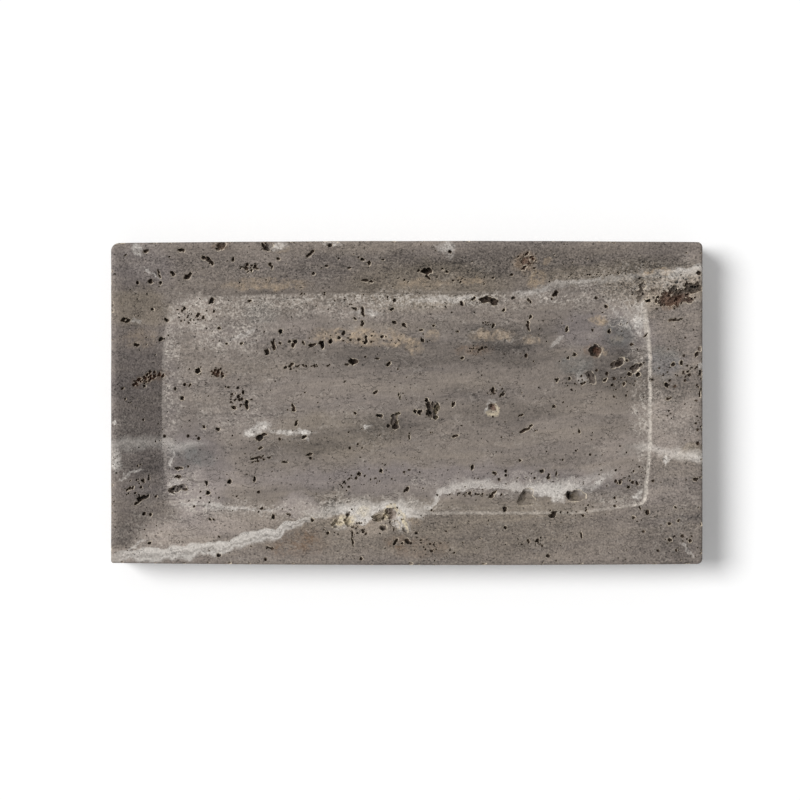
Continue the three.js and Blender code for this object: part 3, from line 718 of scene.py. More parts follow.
def cut_pores(stone, block):
    """Cuts every pore out of the block and returns the finished mesh."""
    pores = bpy.data.collections.new("pores")
    bpy.context.scene.collection.children.link(pores)
    pore_cutters(block, pores.objects)
    cut = stone.modifiers.new("pores", "BOOLEAN")
    cut.operation = "DIFFERENCE"
    cut.operand_type = "COLLECTION"
    cut.collection = pores
    cut.solver = "MANIFOLD"
    bpy.context.view_layer.update()
    finished = bpy.data.meshes.new_from_object(stone.evaluated_get(bpy.context.evaluated_depsgraph_get()))
    stone.modifiers.clear()
    for cutter in list(pores.objects):
        bpy.data.meshes.remove(cutter.data)
    bpy.data.collections.remove(pores)
    return finished


def keep_largest(mesh):
    """Drops loose crumbs that the cuts leave and closed hollows inside the stone."""
    shape = bmesh.new()
    shape.from_mesh(mesh)
    unseen = set(shape.verts)
    islands = []
    while unseen:
        first = unseen.pop()
        island, edge = {first}, [first]
        while edge:
            vert = edge.pop()
            for link in vert.link_edges:
                other = link.other_vert(vert)
                if other in unseen:
                    unseen.discard(other)
                    island.add(other)
                    edge.append(other)
        islands.append(island)
    islands.sort(key=len)
    for island in islands[:-1]:
        bmesh.ops.delete(shape, geom=list(island), context="VERTS")
    shape.to_mesh(mesh)
    shape.free()


def border_distance(point, edge, outline):
    """Distance from the floor's outline in plan, positive on the floor and negative outside it."""
    place = Vector((point.x, point.y, 0))
    nearest, index, distance = edge.find(place)
    along = outline[(index + 1) % len(outline)] - outline[index - 1]
    outward = Vector((along.y, -along.x, 0))
    return -distance if outward.dot(place - nearest) > 0 else distance


def hollow_share(point, depth):
    """The share of a pore's painted shade at a depth inside a broad hollow, and 1 elsewhere."""
    seen = EYE + (point - EYE) * ((EYE.z - RIM_Z) / (EYE.z - point.z))
    share = 1.0
    for x, y, length, width, turn, deep, dark in HOLLOWS:
        along = Vector((math.cos(math.radians(turn)), math.sin(math.radians(turn)), 0))
        away = Vector((seen.x - x, seen.y - y, 0))
        off_along = away.dot(along) / (length * SHADE_REACH)
        off_across = away.cross(along).z / (width * SHADE_REACH)
        inside = min(1.0, max(0.0, (SHADE_END - math.hypot(off_along, off_across)) / SHADE_FADE))
        beyond = min(1.0, max(0.0, (depth - deep) / WELL_FADE))
        share = min(share, 1 - inside * (1 - beyond) * (1 - dark))
    return share


def measure_stone(mesh, block, outline):
    """Stores on each point its depth in a pore, its share of a pore's painted shade, and its distance from
    the floor's edge.
    """
    edge = kdtree.KDTree(len(outline))
    for index, point in enumerate(outline):
        edge.insert(point, index)
    edge.balance()
    depths, darks, borders = [], [], []
    for vert in mesh.vertices:
        point = vert.co / MM
        depth = block.find_nearest(vert.co)[3] / MM
        in_basin = point.z > BASIN_LOW
        depths.append(depth)
        darks.append(hollow_share(point, depth) if depth > OPEN_DEPTH and in_basin else 1.0)
        borders.append(border_distance(point, edge, outline) if in_basin else FAR_OUTSIDE)
    for name, values in (("pore_depth", depths), ("pore_painted_shade", darks), ("border", borders)):
        layer = mesh.attributes.new(name, "FLOAT", "POINT")
        layer.data.foreach_set("value", values)


def travertine_stone(material):
    """The stone piece that stands for the CAD block."""
    points, faces, outline = stone_block()
    stone = new_object("travertine_stone", mesh_from("travertine_stone", points, faces))
    block = BVHTree.FromPolygons([point * MM for point in points], faces)
    finished = cut_pores(stone, block)
    keep_largest(finished)
    measure_stone(finished, block, outline)
    finished.materials.clear()
    finished.materials.append(material)
    finished.shade_smooth()
    finished.set_sharp_from_angle(angle=STONE_SHARP)
    stone.data = finished
    return stone


class Graph:
    """Short names for the nodes of one material, with places in millimetres."""

    def __init__(self, name):
        self.material = bpy.data.materials.new(name)
        self.material.use_nodes = True
        self.tree = self.material.node_tree
        self.shader = self.tree.nodes["Principled BSDF"]
        metres = self.node("ShaderNodeTexCoord").outputs["Object"]
        self.place = self.vector("MULTIPLY", metres, (1000, 1000, 1000))

    def node(self, kind, **settings):
        made = self.tree.nodes.new(kind)
        for key, value in settings.items():
            setattr(made, key, value)
        return made

    def put(self, socket, value):
        if isinstance(value, bpy.types.NodeSocket):
            self.tree.links.new(value, socket)
        else:
            socket.default_value = value

    def math(self, operation, *values, clamp=False):
        made = self.node("ShaderNodeMath", operation=operation, use_clamp=clamp)
        for socket, value in zip(made.inputs, values):
            self.put(socket, value)
        return made.outputs[0]

    def add(self, first, *others):
        total = first
        for other in others:
            total = self.math("ADD", total, other)
        return total

    def times(self, first, *others):
        total = first
        for other in others:
            total = self.math("MULTIPLY", total, other)
        return total

    def vector(self, operation, *values):
        made = self.node("ShaderNodeVectorMath", operation=operation)
        for socket, value in zip(made.inputs, values):
            self.put(socket, value)
        return made.outputs["Value" if operation in ("LENGTH", "DOT_PRODUCT", "DISTANCE") else "Vector"]

    def split(self, vector):
        made = self.node("ShaderNodeSeparateXYZ")
        self.put(made.inputs[0], vector)
        return made.outputs[0], made.outputs[1], made.outputs[2]

    def join(self, x, y, z):
        made = self.node("ShaderNodeCombineXYZ")
        for socket, value in zip(made.inputs, (x, y, z)):
            self.put(socket, value)
        return made.outputs[0]

    def sized(self, place, size):
        spans = size if isinstance(size, tuple) else (size, size, size)
        return self.vector("DIVIDE", place, spans)

    def noise(self, place, size, detail=2.0, roughness=0.5):
        """Noise about 0 that mostly stays within -0.5 and 0.5, with lumps about size across."""
        made = self.node("ShaderNodeTexNoise", noise_dimensions="3D")
        self.put(made.inputs["Vector"], self.sized(place, size))
        made.inputs["Scale"].default_value = 1.0
        made.inputs["Detail"].default_value = detail
        made.inputs["Roughness"].default_value = roughness
        return self.math("MULTIPLY_ADD", made.outputs["Fac"], 2.0, -1.0)

    def wobble(self, place, size, reach, detail=1.0):
        """The place moved about by noise, up to reach each way."""
        made = self.node("ShaderNodeTexNoise", noise_dimensions="3D")
        self.put(made.inputs["Vector"], self.sized(place, size))
        made.inputs["Scale"].default_value = 1.0
        made.inputs["Detail"].default_value = detail
        shift = self.vector("MULTIPLY_ADD", made.outputs["Color"], (2 * reach,) * 3, (-reach,) * 3)
        return self.vector("ADD", place, shift)

    def cells(self, place, size):
        """Distance from the middle of a cell, and a number from 0 to 1 drawn for the cell."""
        made = self.node("ShaderNodeTexVoronoi", feature="F1", voronoi_dimensions="3D")
        self.put(made.inputs["Vector"], self.sized(place, size))
        made.inputs["Scale"].default_value = 1.0
        drawn = self.node("ShaderNodeSeparateColor")
        self.put(drawn.inputs[0], made.outputs["Color"])
        return made.outputs["Distance"], drawn.outputs[0]

    def smooth(self, value, start, end, full=1.0):
        """0 at start and full at end, smooth between. Start may be above end."""
        made = self.node("ShaderNodeMapRange", interpolation_type="SMOOTHSTEP")
        low, high = min(start, end), max(start, end)
        self.put(made.inputs["Value"], value)
        made.inputs["From Min"].default_value = low
        made.inputs["From Max"].default_value = high
        made.inputs["To Min"].default_value = 0.0 if start < end else full
        made.inputs["To Max"].default_value = full if start < end else 0.0
        return made.outputs["Result"]

    def curve(self, value, points):
        """A smooth curve through points, in their own units."""
        xs = [point[0] for point in points]
        ys = [point[1] for point in points]
        low_x, low_y = min(xs), min(ys)
        span_x, span_y = max(xs) - low_x, max(ys) - low_y
        made = self.node("ShaderNodeFloatCurve")
        shape = made.mapping.curves[0].points
        for _ in range(len(points) - 2):
            shape.new(0.5, 0.5)
        for knot, (x, y) in zip(shape, points):
            knot.location = ((x - low_x) / span_x, (y - low_y) / span_y)
            knot.handle_type = "AUTO_CLAMPED"
        made.mapping.update()
        along = self.math("MULTIPLY_ADD", value, 1 / span_x, -low_x / span_x, clamp=True)
        self.put(made.inputs["Value"], along)
        return self.math("MULTIPLY_ADD", made.outputs[0], span_y, low_y)

    def patch(self, place, x, y, reach_x, reach_y, strength, turn=0):
        """A blob in plan that fades from its strength in the middle to 0 outside it."""
        made = self.node("ShaderNodeTexGradient", gradient_type="SPHERICAL")
        self.put(made.inputs["Vector"], place)
        made.texture_mapping.vector_type = "TEXTURE"
        made.texture_mapping.translation = (x, y, PATCH_Z)
        made.texture_mapping.rotation = (0, 0, math.radians(turn))
        made.texture_mapping.scale = (PATCH_SPREAD * reach_x, PATCH_SPREAD * reach_y, PATCH_TALL)
        return self.smooth(made.outputs["Fac"], 0.0, PATCH_CORE, strength)

    def after(self, place, value):
        """A place that is worked out after a value, which moves it by next to nothing in height."""
        return self.vector("ADD", place, self.join(0.0, 0.0, self.times(value, HELD_SHIFT)))

    def mix(self, factor, first, second, blend="MIX"):
        made = self.node("ShaderNodeMix", data_type="RGBA", blend_type=blend)
        self.put(made.inputs[0], factor)
        self.put(made.inputs[6], first)
        self.put(made.inputs[7], second)
        return made.outputs[2]

    def bright(self, colour, level):
        """A colour times a level."""
        made = self.node("ShaderNodeVectorMath", operation="SCALE")
        self.put(made.inputs[0], colour[:3] if isinstance(colour, tuple) else colour)
        self.put(made.inputs["Scale"], level)
        return made.outputs[0]

    def attribute(self, name):
        return self.node("ShaderNodeAttribute", attribute_name=name).outputs["Fac"]

    def bump(self, height, distance):
        made = self.node("ShaderNodeBump")
        made.inputs["Distance"].default_value = distance * MM
        self.put(made.inputs["Height"], height)
        self.put(self.shader.inputs["Normal"], made.outputs[0])


def srgb(red, green, blue):
    """A colour as it reads in a photo, 0 to 255, as linear light."""
    levels = [value / 255 for value in (red, green, blue)]
    return (*(v / 12.92 if v <= 0.04045 else ((v + 0.055) / 1.055) ** 2.4 for v in levels), 1.0)


# How many blobs are worked out before the next ones, and how far those are moved to wait for them
BLOB_GROUP = 10
HELD_SHIFT = 0.0001

# A blob's full reach against its written one, and how far in from there it is at full strength
PATCH_SPREAD = 1.35
PATCH_CORE = 0.52

# Middle and reach of every blob in height
PATCH_Z = 18
PATCH_TALL = 60

# Stone colours
COOL_GREY = srgb(121, 113, 110)
WARM_GREY = srgb(128, 118, 107)
CALCITE = srgb(211, 205, 198)
FROST = srgb(178, 170, 161)
OCHRE = srgb(158, 141, 121)
RUST = srgb(112, 93, 77)
# Pale crust at the pores' rims, which also serves as a painted highlight on them
PORE_RIM_CRUST_AND_HIGHLIGHT = srgb(188, 176, 158)
# Painted shade inside the pores, deepening with depth
PORE_PAINTED_SHADE = srgb(70, 56, 45)
CREAM = srgb(214, 200, 172)
BURNT = srgb(108, 79, 65)
OLIVE = srgb(104, 93, 70)
# Dark lines: cracks, and painted shade along the floor's top edge
CRACK_AND_SHADE = srgb(84, 76, 70)
COLD_GREY = srgb(108, 110, 108)

# Lighter and darker cloudy patches, and last painted shade and light across the lower left hip: x, y, reach
# along, reach across, change of level, any turn
CLOUDS_AND_HIP_SHADE = [
    (10, 27, 78, 7, -0.28), (-55, -23, 30, 6, -0.18, 8), (0, -10, 30, 6, -0.16, 8),
    (54, -6, 24, 7, -0.22), (118, 21, 17, 13, -0.26), (100, 14, 16, 7, -0.12), (-118, -30, 16, 5, -0.18),
    (-85, -28, 12, 5, -0.14), (-150, 5, 15, 24, -0.2), (-148, -35, 12, 5, -0.3), (50, 79, 62, 9, -0.16),
    (-20, 75, 50, 7, -0.1), (30, -76, 55, 12, -0.12), (-120, 50, 13, 10, 0.28), (-102, 37, 18, 6, 0.16),
    (-30, 51, 62, 9, 0.02), (-120, -50, 15, 12, 0.36), (-95, -63, 26, 6, 0.2), (-60, -60, 15, 5, 0.2),
    (62, -45, 46, 5, 0.2), (121, 52, 14, 6, 0.3), (-90, -11, 22, 6, 0.18), (-50, 6, 42, 8, 0.12),
    (142, -8, 18, 8, 0.24), (90, -13, 14, 5, 0.12), (132, -24, 24, 7, 0.36), (-118, -74, 30, 9, 0.3),
    (-140, 44, 10, 7, 0.26), (56, 37, 24, 8, -0.42), (45, 76, 40, 6, -0.14), (150, -74, 20, 14, -0.18),
    (140, 76, 22, 5, -0.34), (120, 36, 10, 7, -0.22), (140, 9, 28, 8, -0.24), (-150, -22, 18, 7, -0.2),
    (-100, -44, 12, 6, 0.24), (-80, 84, 18, 6, 0.18), (20, 85, 16, 5, 0.2), (38, 60, 18, 5, -0.24),
    (-40, 60, 14, 4, -0.24), (-80, 60, 14, 5, -0.16), (60, 24, 14, 5, -0.12), (122, 24, 9, 5, -0.12),
    (100, 12, 8, 5, -0.1), (-8, -15, 22, 6, -0.2), (80, -45, 12, 5, -0.24), (-41, -60, 7, 4, -0.36),
    (-80, -44, 12, 5, 0.1), (-20, -72, 12, 4, 0.16), (-140, -72, 12, 6, 0.12), (-122, -56, 12, 7, 0.26),
    (-60, -58, 12, 6, 0.24), (-160, -48, 7, 6, 0.18), (-100, -34, 14, 7, 0.14), (112, -37, 18, 7, 0.24),
    (160, 0, 8, 8, 0.12), (162, 72, 6, 5, 0.14), (-142, 48, 8, 5, 0.12), (60, -84, 12, 4, -0.1),
    (-140, 0, 9, 6, -0.12), (-160, -12, 7, 6, -0.12), (-100, -69, 12, 5, 0.2), (-80, -68, 10, 4, 0.14),
    (-20, -69, 12, 4, 0.24), (160, 64, 6, 7, 0.16), (60, 60, 10, 4, 0.14), (-160, 52, 6, 5, 0.14),
    (110, -4, 14, 4, 0.1), (112, -60, 14, 4, 0.12), (160, -20, 6, 5, 0.28), (-160, -85, 7, 4, 0.55),
    (40, -43, 8, 4, -0.14), (120, 44, 8, 4, -0.2), (80, 44, 8, 4, -0.16), (-90, 20, 18, 5, -0.14),
    (150, -10, 14, 80, -0.08), (139, 60, 8, 5, 0.4), (20, -52, 8, 4, 0.26), (40, 8, 18, 5, -0.12),
    (-60, 43, 10, 4, 0.16), (-138, -35, 9, 5, -0.14), (-100, -76, 8, 3, -0.12), (160, -60, 6, 6, -0.12),
    (140, -52, 8, 5, 0.14), (-5, -42, 60, 7, 0.13), (-128, -73, 24, 8, 0.14), (150, -56, 16, 8, 0.1),
    (104, -56, 16, 5, 0.1), (161, 84, 5, 5, 0.12), (-8, 44, 16, 4, -0.08), (18, 43, 12, 5, -0.16),
    (62, 20, 10, 4, -0.1), (24, 4, 14, 4, -0.1), (132, -4, 12, 5, 0.1), (-50, -25, 14, 5, -0.1),
    (-60, 52, 10, 4, -0.12), (76, -12, 8, 4, 0.14), (120, -28, 8, 4, 0.14), (160, -28, 6, 3, 0.1),
    (-100, -76, 9, 3, -0.2), (-20, 68, 10, 4, -0.12), (-80, 84, 9, 4, 0.1), (60, 44, 9, 4, 0.14),
    (-140, 60, 9, 5, 0.11), (-40, 52, 9, 4, 0.12), (-70, 44, 15, 4, 0.1), (160, 36, 6, 5, 0.12),
    (80, -4, 8, 4, -0.14), (140, -4, 8, 4, 0.1), (-100, -20, 8, 4, 0.12), (-85, -45, 32, 4, 0.1),
    (100, -44, 8, 4, 0.12), (-60, -61, 8, 4, 0.12), (160, -60, 6, 5, -0.13), (0, -84, 9, 4, 0.14),
    (-95, -68, 34, 4, 0.08), (40, -36, 10, 4, 0.1), (82, -24, 46, 5, 0.09, 8), (5, -49, 36, 4, 0.07),
    (-20, -69, 8, 4, 0.1), (134, -68, 14, 5, 0.09), (-45, -4, 40, 4, 0.05), (-120, 53, 9, 5, 0.1),
    (-68, 44, 14, 4, 0.06), (-40, -60, 7, 4, -0.12), (50, 28, 34, 4, 0.08), (20, 80, 10, 7, 0.08),
    # The last two blobs, turned 45 degrees, are painted shade and light across the lower left hip: darker on
    # the left slope, lighter on the bottom slope
    (152, 14, 14, 20, 0.04), (-118, -60, 12, 4, 0.08), (-155, -71, 16, 5, -0.16, 45),
    (-141, -77, 17, 5, 0.16, 45),
]

# Warmer and cooler zones: x, y, reach along, reach across, change of the warm share, any turn
ZONES = [
    (10, -66, 95, 22, 0.35), (-150, 0, 22, 60, -0.3), (112, 40, 28, 11, -0.6), (10, 66, 45, 12, 0.6),
    (140, 66, 30, 12, 0.5), (-118, -40, 18, 26, -0.4), (-40, -18, 36, 12, 0.4), (-150, 55, 16, 12, 0.6),
    (110, 72, 34, 6, 0.5), (-60, -58, 14, 6, -0.6), (20, -44, 100, 9, -0.5), (-122, -26, 12, 6, -0.6),
    (160, -28, 8, 5, 0.9), (-150, 76, 22, 14, -0.4), (146, 22, 10, 6, -0.5),
]

# Warm stains: x, y, reach along, reach across, strength, any turn
OCHRE_STAINS = [
    (-41, 38, 13, 3.8, 0.6), (-24, 37, 7, 5.5, 0.6), (-8, 36, 9, 5, 0.7), (4, 32.5, 5, 4.5, 0.7),
    (14, 37.5, 4, 3, 0.7), (73, 69, 5, 5, 0.95), (78.5, 79.3, 2.6, 2, 0.8), (66, 78, 7, 6, 0.3),
    (-80, 66.8, 23, 3.2, 0.6), (37, 68.8, 8, 2, 0.95), (8, 67, 16, 3, 0.45), (108, 47, 4.4, 2.8, 0.8),
    (140, 73.4, 9, 1.5, 1.4, 6), (-30, -67, 14, 4, 0.35), (-150, 36, 10, 5, 0.3),
    (47, 38.5, 11, 3.4, 0.6), (70, 35.2, 4.4, 3, 0.6), (-70, 86, 5, 3, 0.5), (-36, -66, 5, 2.5, 0.5, 15),
    (4, -66, 5, 2.5, 0.4), (118, 36, 3, 2, 0.4), (111, 29.4, 2.4, 2.6, 0.7),
]
RUST_STAINS = [
    (-64, -77.5, 15, 7.5, 0.5, 12), (-53, -79, 9, 6, 0.22), (-144, 14, 11, 3.5, 0.6, 18),
    (-106, 17, 5, 3.5, 0.6), (38, 30, 10, 3.5, 0.45), (147, 57, 6, 4, 0.7), (-6, -78, 7, 4, 0.4),
    (67, 79, 6, 5, 0.45, 50), (105, 29.5, 5, 4, 0.6), (8, -81, 16, 6, 0.3), (-103, 88, 5, 3, 0.6),
    (-77, 88, 4, 3, 0.6),
]

# Whitened spots, and three thin painted highlights along the hips: x, y, reach along, reach across, strength,
# any turn
WHITE_SPOTS_AND_HIP_HIGHLIGHTS = [
    (-150.5, 85.5, 2.8, 2.6, 0.75), (-72, 87.5, 5, 2.4, 0.65), (-42, 89, 5.5, 1.6, 0.6),
    (21.5, 87, 5, 3, 0.6), (-162, -33, 2.6, 5.5, 0.9), (-162.7, -11.3, 1.2, 1.2, 0.9),
    (164.5, 21, 1.6, 2, 0.8), (145, -32, 2, 1.8, 0.9), (-155, -40, 7, 0.9, 0.7, 22),
    (-84, -14.5, 7, 3, 0.75, 20), (-65, -16.2, 11, 1.7, 0.75, -3), (-56, -17.5, 3, 2.4, 0.6),
    (-28, -61, 9, 3.4, 0.8), (-24.6, -65, 2.8, 4, 0.9), (-35, -67.5, 7, 3.6, 0.5, 15),
    (-4, -67, 6, 4, 0.5, 150), (-3, -62, 3, 5, 0.8, 20), (86, -54, 4, 3.4, 0.8), (80, -49, 10, 3, 0.6),
    (104, -47, 8, 2.6, 0.42, 24), (111, -42, 7, 2.2, 0.34, 32), (-93, 38, 8, 1.2, 0.5, 25),
    (84.5, 34.5, 4.5, 1.2, 0.4, 45), (45.2, -2.6, 1.2, 2.6, 0.55), (48.4, 1, 2.6, 1.2, 0.45),
    (-22.6, -14, 1.6, 1.4, 0.6), (128.5, -54, 1.4, 1.2, 1), (-115, -57.5, 14, 1.6, 0.5, -4),
    (-88, -60, 16, 1, 0.5, -2), (-132.5, -32, 1, 5, 0.6, -14), (-130, -46, 3, 4, 0.4),
    # (-142, 72) is a painted highlight along the upper left hip
    (98, 14, 3, 4, 0.3, 30), (-142, 72, 6, 0.8, 0.5, -40), (-151, 46, 2.4, 1.6, 0.7),
    (24, 84, 3, 3, 0.35), (70, 62.5, 10, 1.6, 0.5, 5), (20, 58.5, 22, 1.8, 0.4, 2),
    # (-152, -80) and (156, -82) are painted highlights along the lower hips
    (-22, 51, 8, 1.6, 0.5, -4), (-152, -80, 7, 0.8, 0.6, 40), (156, -82, 5, 0.7, 0.4, -42),
    (130.5, -52, 4, 1.4, 0.7, 62), (121, 47, 11, 1.5, 0.35, -52), (126, 48.5, 10, 1.5, 0.3, -55),
    (130, 46, 8, 2, 0.42, -75), (131.4, 50, 2.4, 8, 0.5, -6),
]

# Cream crusts: x, y, reach along, reach across, strength, any turn
CREAM_SPOTS = [
    (-37, -67, 6, 2.6, 0.75, 15), (-31, -66, 2.5, 3, 0.5), (48.2, -5.4, 2.8, 1.4, 0.6),
    (51, -2.6, 1.2, 2.4, 0.5), (-12, -62.4, 1.3, 3.2, 0.8, -20), (-8, -57.6, 3.2, 1.4, 0.8),
    (-4, -61, 1.3, 3.6, 0.8, 25), (-1, -67, 1.4, 4.4, 0.8, 10), (-24, -61, 4, 3, 0.4),
]

# Coarse crusts: x, y, reach along, reach across, strength, any turn
CRUSTS = [
    (134, 65, 32, 7, 1.5, 7), (0, 76, 170, 9, 0.45), (150, 62, 14, 9, 0.8, 10), (-86, 75, 7, 4, 0.8),
    (66, 79, 7, 6, 1, 50), (-121, 51, 12, 7, 0.7), (-30, -66, 18, 5, 0.6), (-100, 20, 36, 34, 0.4),
    (-20, 54, 80, 7, 0.9), (-30, 38, 34, 4, 0.6),
]

# Cold grey patches: x, y, reach along, reach across, strength, any turn
COLD_PATCHES = [
    (-126, -27, 9, 4, 0.42, 10), (-116, -31, 9, 4.5, 0.36, -12), (-122, -35, 7, 3, 0.25),
    (144, 23, 9, 9, 0.5), (120, 40, 8, 9, 0.6, 40), (95, 21, 10, 5, 0.6), (-82, 50, 10, 6, 0.4),
    (127, -27, 8, 4, 0.35),
]

# Burnt and olive stains inside hollows: x, y, reach along, reach across, strength, any turn
BURNT_HOLLOWS = [
    (147, 58.2, 6, 4, 0.6, 10), (156, 59, 5, 3, 0.5), (107.8, 29.6, 2, 2.6, 0.9),
    (-107, 17.2, 4, 2.6, 0.7), (-145, 14, 11, 3, 0.7, 20), (-7.6, -62.6, 3, 3.6, 0.35),
    (47.8, -2.6, 2.4, 2.2, 0.7), (67, 79.5, 6, 5, 0.5, 50),
]
OLIVE_HOLLOWS = [
    (-17, -64.6, 4, 3, 0.6), (66.8, -53, 4.6, 3.8, 0.2), (94.6, -52.4, 2.6, 3.2, 0.4),
    (17, -4, 1.8, 4.4, 0.7), (-4.4, -9, 1.6, 3.6, 0.6), (-35, -67.5, 5, 3, 0.5),
]

# Areas with a sugary, frosted surface: x, y, reach along, reach across, strength, any turn
FROSTED = [
    (-121, 51, 15, 10, 1, 10), (-131, 20, 6, 40, 0.7), (-100, 42, 26, 14, 0.7), (-55, 55, 60, 7, 0.8),
    (10, 59, 50, 5, 0.7), (60, 58, 40, 5, 0.5), (124, 52, 13, 9, 0.9), (131, 0, 5, 56, 0.6),
    (-124, -50, 14, 11, 0.9), (-104, -60, 30, 6, 0.7), (-60, -61, 22, 5, 0.7), (-20, -56, 34, 5, 0.8),
    (60, -46, 52, 6, 0.7), (120, -54, 16, 5, 0.6), (-90, -8, 30, 12, 0.4), (130, 70, 36, 8, 0.8, 4),
    (-140, -74, 24, 12, 0.5), (-150, 80, 14, 8, 0.3), (145, -5, 16, 14, 0.4), (-30, -10, 20, 10, 0.2),
    (40, 40, 40, 8, 0.2), (95, 60, 20, 8, 0.4), (-158, -20, 8, 16, 0.4), (-100, 20, 30, 20, 0.3),
]

# Veins of white calcite: the route as x and y, half width and strength along x, softness of the lower
# and upper edge, how thin the middle is, how much brighter the upper edge is, and how far the edges are torn
MAIN_VEIN = {
    "route": [(-166, -86), (-150, -84.6), (-137, -84), (-128, -83.6), (-112, -81.4), (-101, -80.6),
              (-95, -77.5), (-82, -74), (-75, -73.8), (-68, -69.4), (-58, -66.5), (-50, -64.5)],
    "width": [(-166, 2.4), (-150, 3), (-124, 3.2), (-100, 2.8), (-88, 3.2), (-72, 2.9), (-62, 2),
              (-50, 1.6)],
    "strength": [(-166, 0), (-163, 0.5), (-154, 0.95), (-140, 1.1), (-70, 1.1), (-62, 0.9), (-50, 0)],
    "lower": 0.55, "upper": 0.25, "thin": 0.22, "glow": 0.22, "torn": 0.8,
}
CLUSTER_VEIN = {
    "route": [(-60, -64), (-48, -61.5), (-36, -60.5), (-26, -61.5), (-18, -59.5), (-10, -57.8),
              (-2, -59.8), (6, -61.5), (15, -59.5)],
    "width": [(-60, 1.8), (-48, 2.6), (-36, 3.2), (-26, 5.4), (-18, 3), (-10, 2.2), (-2, 3.2),
              (6, 3.4), (15, 1.4)],
    "strength": [(-60, 0), (-52, 0.4), (-43, 0.45), (-36, 0.8), (-20, 0.9), (-4, 0.85), (6, 0.6), (15, 0)],
    "lower": 0.35, "upper": 1.0, "thin": 0.1, "glow": 0.0, "torn": 1.6,
}
LEFT_VEIN = {
    "route": [(-166, -24.5), (-150, -22.5), (-141, -21.6), (-128, -24.2), (-118, -23.5), (-110, -24)],
    "width": [(-166, 3.4), (-140, 3.0), (-126, 2.6), (-110, 1)],
    "strength": [(-166, 0.42), (-140, 0.45), (-126, 0.42), (-110, 0)],
    "lower": 0.8, "upper": 0.9, "thin": 0.0, "glow": 0.1, "torn": 1.8,
}
RIGHT_VEIN = {
    "route": [(126, -24), (136, -24.5), (142, -27.5), (150, -28.5), (158, -29), (166, -29.5)],
    "width": [(126, 1), (142, 2.2), (156, 2.4), (166, 3)],
    "strength": [(126, 0), (136, 0.35), (156, 0.55), (162, 0.7), (166, 0.7)],
    "lower": 0.9, "upper": 0.9, "thin": 0.0, "glow": 0.0, "torn": 1.2,
}
LOWER_VEIN = {
    "route": [(9, -59.5), (14, -57.8), (17, -52.5), (22, -49), (28, -46.6), (40, -46), (52, -46.6),
              (66, -47), (80, -49), (95, -46.5), (108, -40), (116, -36)],
    "width": [(9, 1.2), (16, 2.2), (28, 2.0), (40, 2.0), (60, 2.0), (84, 3.4), (100, 2.4), (116, 1)],
    "strength": [(9, 0), (14, 0.7), (22, 0.55), (34, 0.55), (60, 0.5), (84, 0.7), (100, 0.35), (116, 0)],
    "lower": 0.25, "upper": 1.0, "thin": 0.0, "glow": 0.0, "torn": 4.2,
}
CREST_VEIN = {
    "route": [(68, 63.5), (77, 65.8), (94, 68), (110, 69.1), (123, 70.8), (138, 72.7), (150, 73),
              (166, 75.6)],
    "width": [(68, 0.8), (94, 1.2), (123, 1.2), (150, 1.6), (166, 2.2)],
    "strength": [(68, 0), (80, 0.35), (94, 0.55), (108, 0.4), (123, 0.3), (140, 0.3), (152, 0.55),
                 (166, 0.65)],
    "lower": 1.6, "upper": 0.5, "thin": 0.0, "glow": 0.0, "torn": 2.6,
}
VEINS = (MAIN_VEIN, CLUSTER_VEIN, LEFT_VEIN, RIGHT_VEIN, LOWER_VEIN, CREST_VEIN)

# Thin dark lines, with the same parts: two cracks in the floor, and painted shade along the floor's top edge
FLOOR_CREASE = {
    "route": [(-132, -56), (-120, -57.6), (-106, -58.6), (-94, -60.2), (-80, -59.6), (-70, -60.4)],
    "width": [(-132, 0.3), (-106, 0.45), (-70, 0.3)],
    "strength": [(-132, 0), (-122, 0.5), (-106, 0.65), (-92, 0.6), (-70, 0)],
    "lower": 0.8, "upper": 0.8, "thin": 0.0, "glow": 0.0, "torn": 0.9,
}
CORNER_CREASE = {
    "route": [(-136, -42), (-126, -41.5), (-118, -44.5), (-106, -43), (-98, -41)],
    "width": [(-136, 0.3), (-118, 0.5), (-98, 0.3)],
    "strength": [(-136, 0), (-128, 0.6), (-116, 0.5), (-98, 0)],
    "lower": 0.8, "upper": 0.8, "thin": 0.0, "glow": 0.0, "torn": 1.4,
}
# Painted shade along the floor's top edge, where the worn step meets the floor
TOP_EDGE_SHADE = {
    "route": [(-112, 60.6), (-95, 61.4), (-70, 62.2), (-40, 62.6), (0, 61.8), (40, 61.6), (64, 62)],
    "width": [(-112, 0.5), (-80, 0.9), (-50, 0.5), (0, 0.5), (64, 0.4)],
    "strength": [(-112, 0), (-100, 0.55), (-75, 0.65), (-50, 0.5), (0, 0.5), (50, 0.5), (64, 0)],
    "lower": 0.8, "upper": 0.8, "thin": 0.0, "glow": 0.0, "torn": 0.7,
}
CRACKS_AND_SHADE_LINES = (FLOOR_CREASE, CORNER_CREASE, TOP_EDGE_SHADE)

# Strength along x of the pale band inside the floor's edge, and of the line along that edge, which is partly
# whitened wear and partly a painted highlight on the step, strongest at the right
BAND_SHARE = [(-140, 0.45), (-100, 0.6), (0, 0.6), (60, 0.3), (140, 0.3)]
LINE_SHARE = [(-140, 0.4), (-126, 0.15), (0, 0.15), (20, 0.5), (100, 0.5), (126, 0.65), (132, 1), (140, 1)]


def summed(graph, place, blobs):
    """The sum of soft blobs. Groups of them wait for one another, so that few are held at once."""
    total = graph.patch(place, *blobs[0])
    for start in range(1, len(blobs), BLOB_GROUP):
        place = graph.after(place, total)
        for blob in blobs[start:start + BLOB_GROUP]:
            total = graph.add(total, graph.patch(place, *blob))
    return total


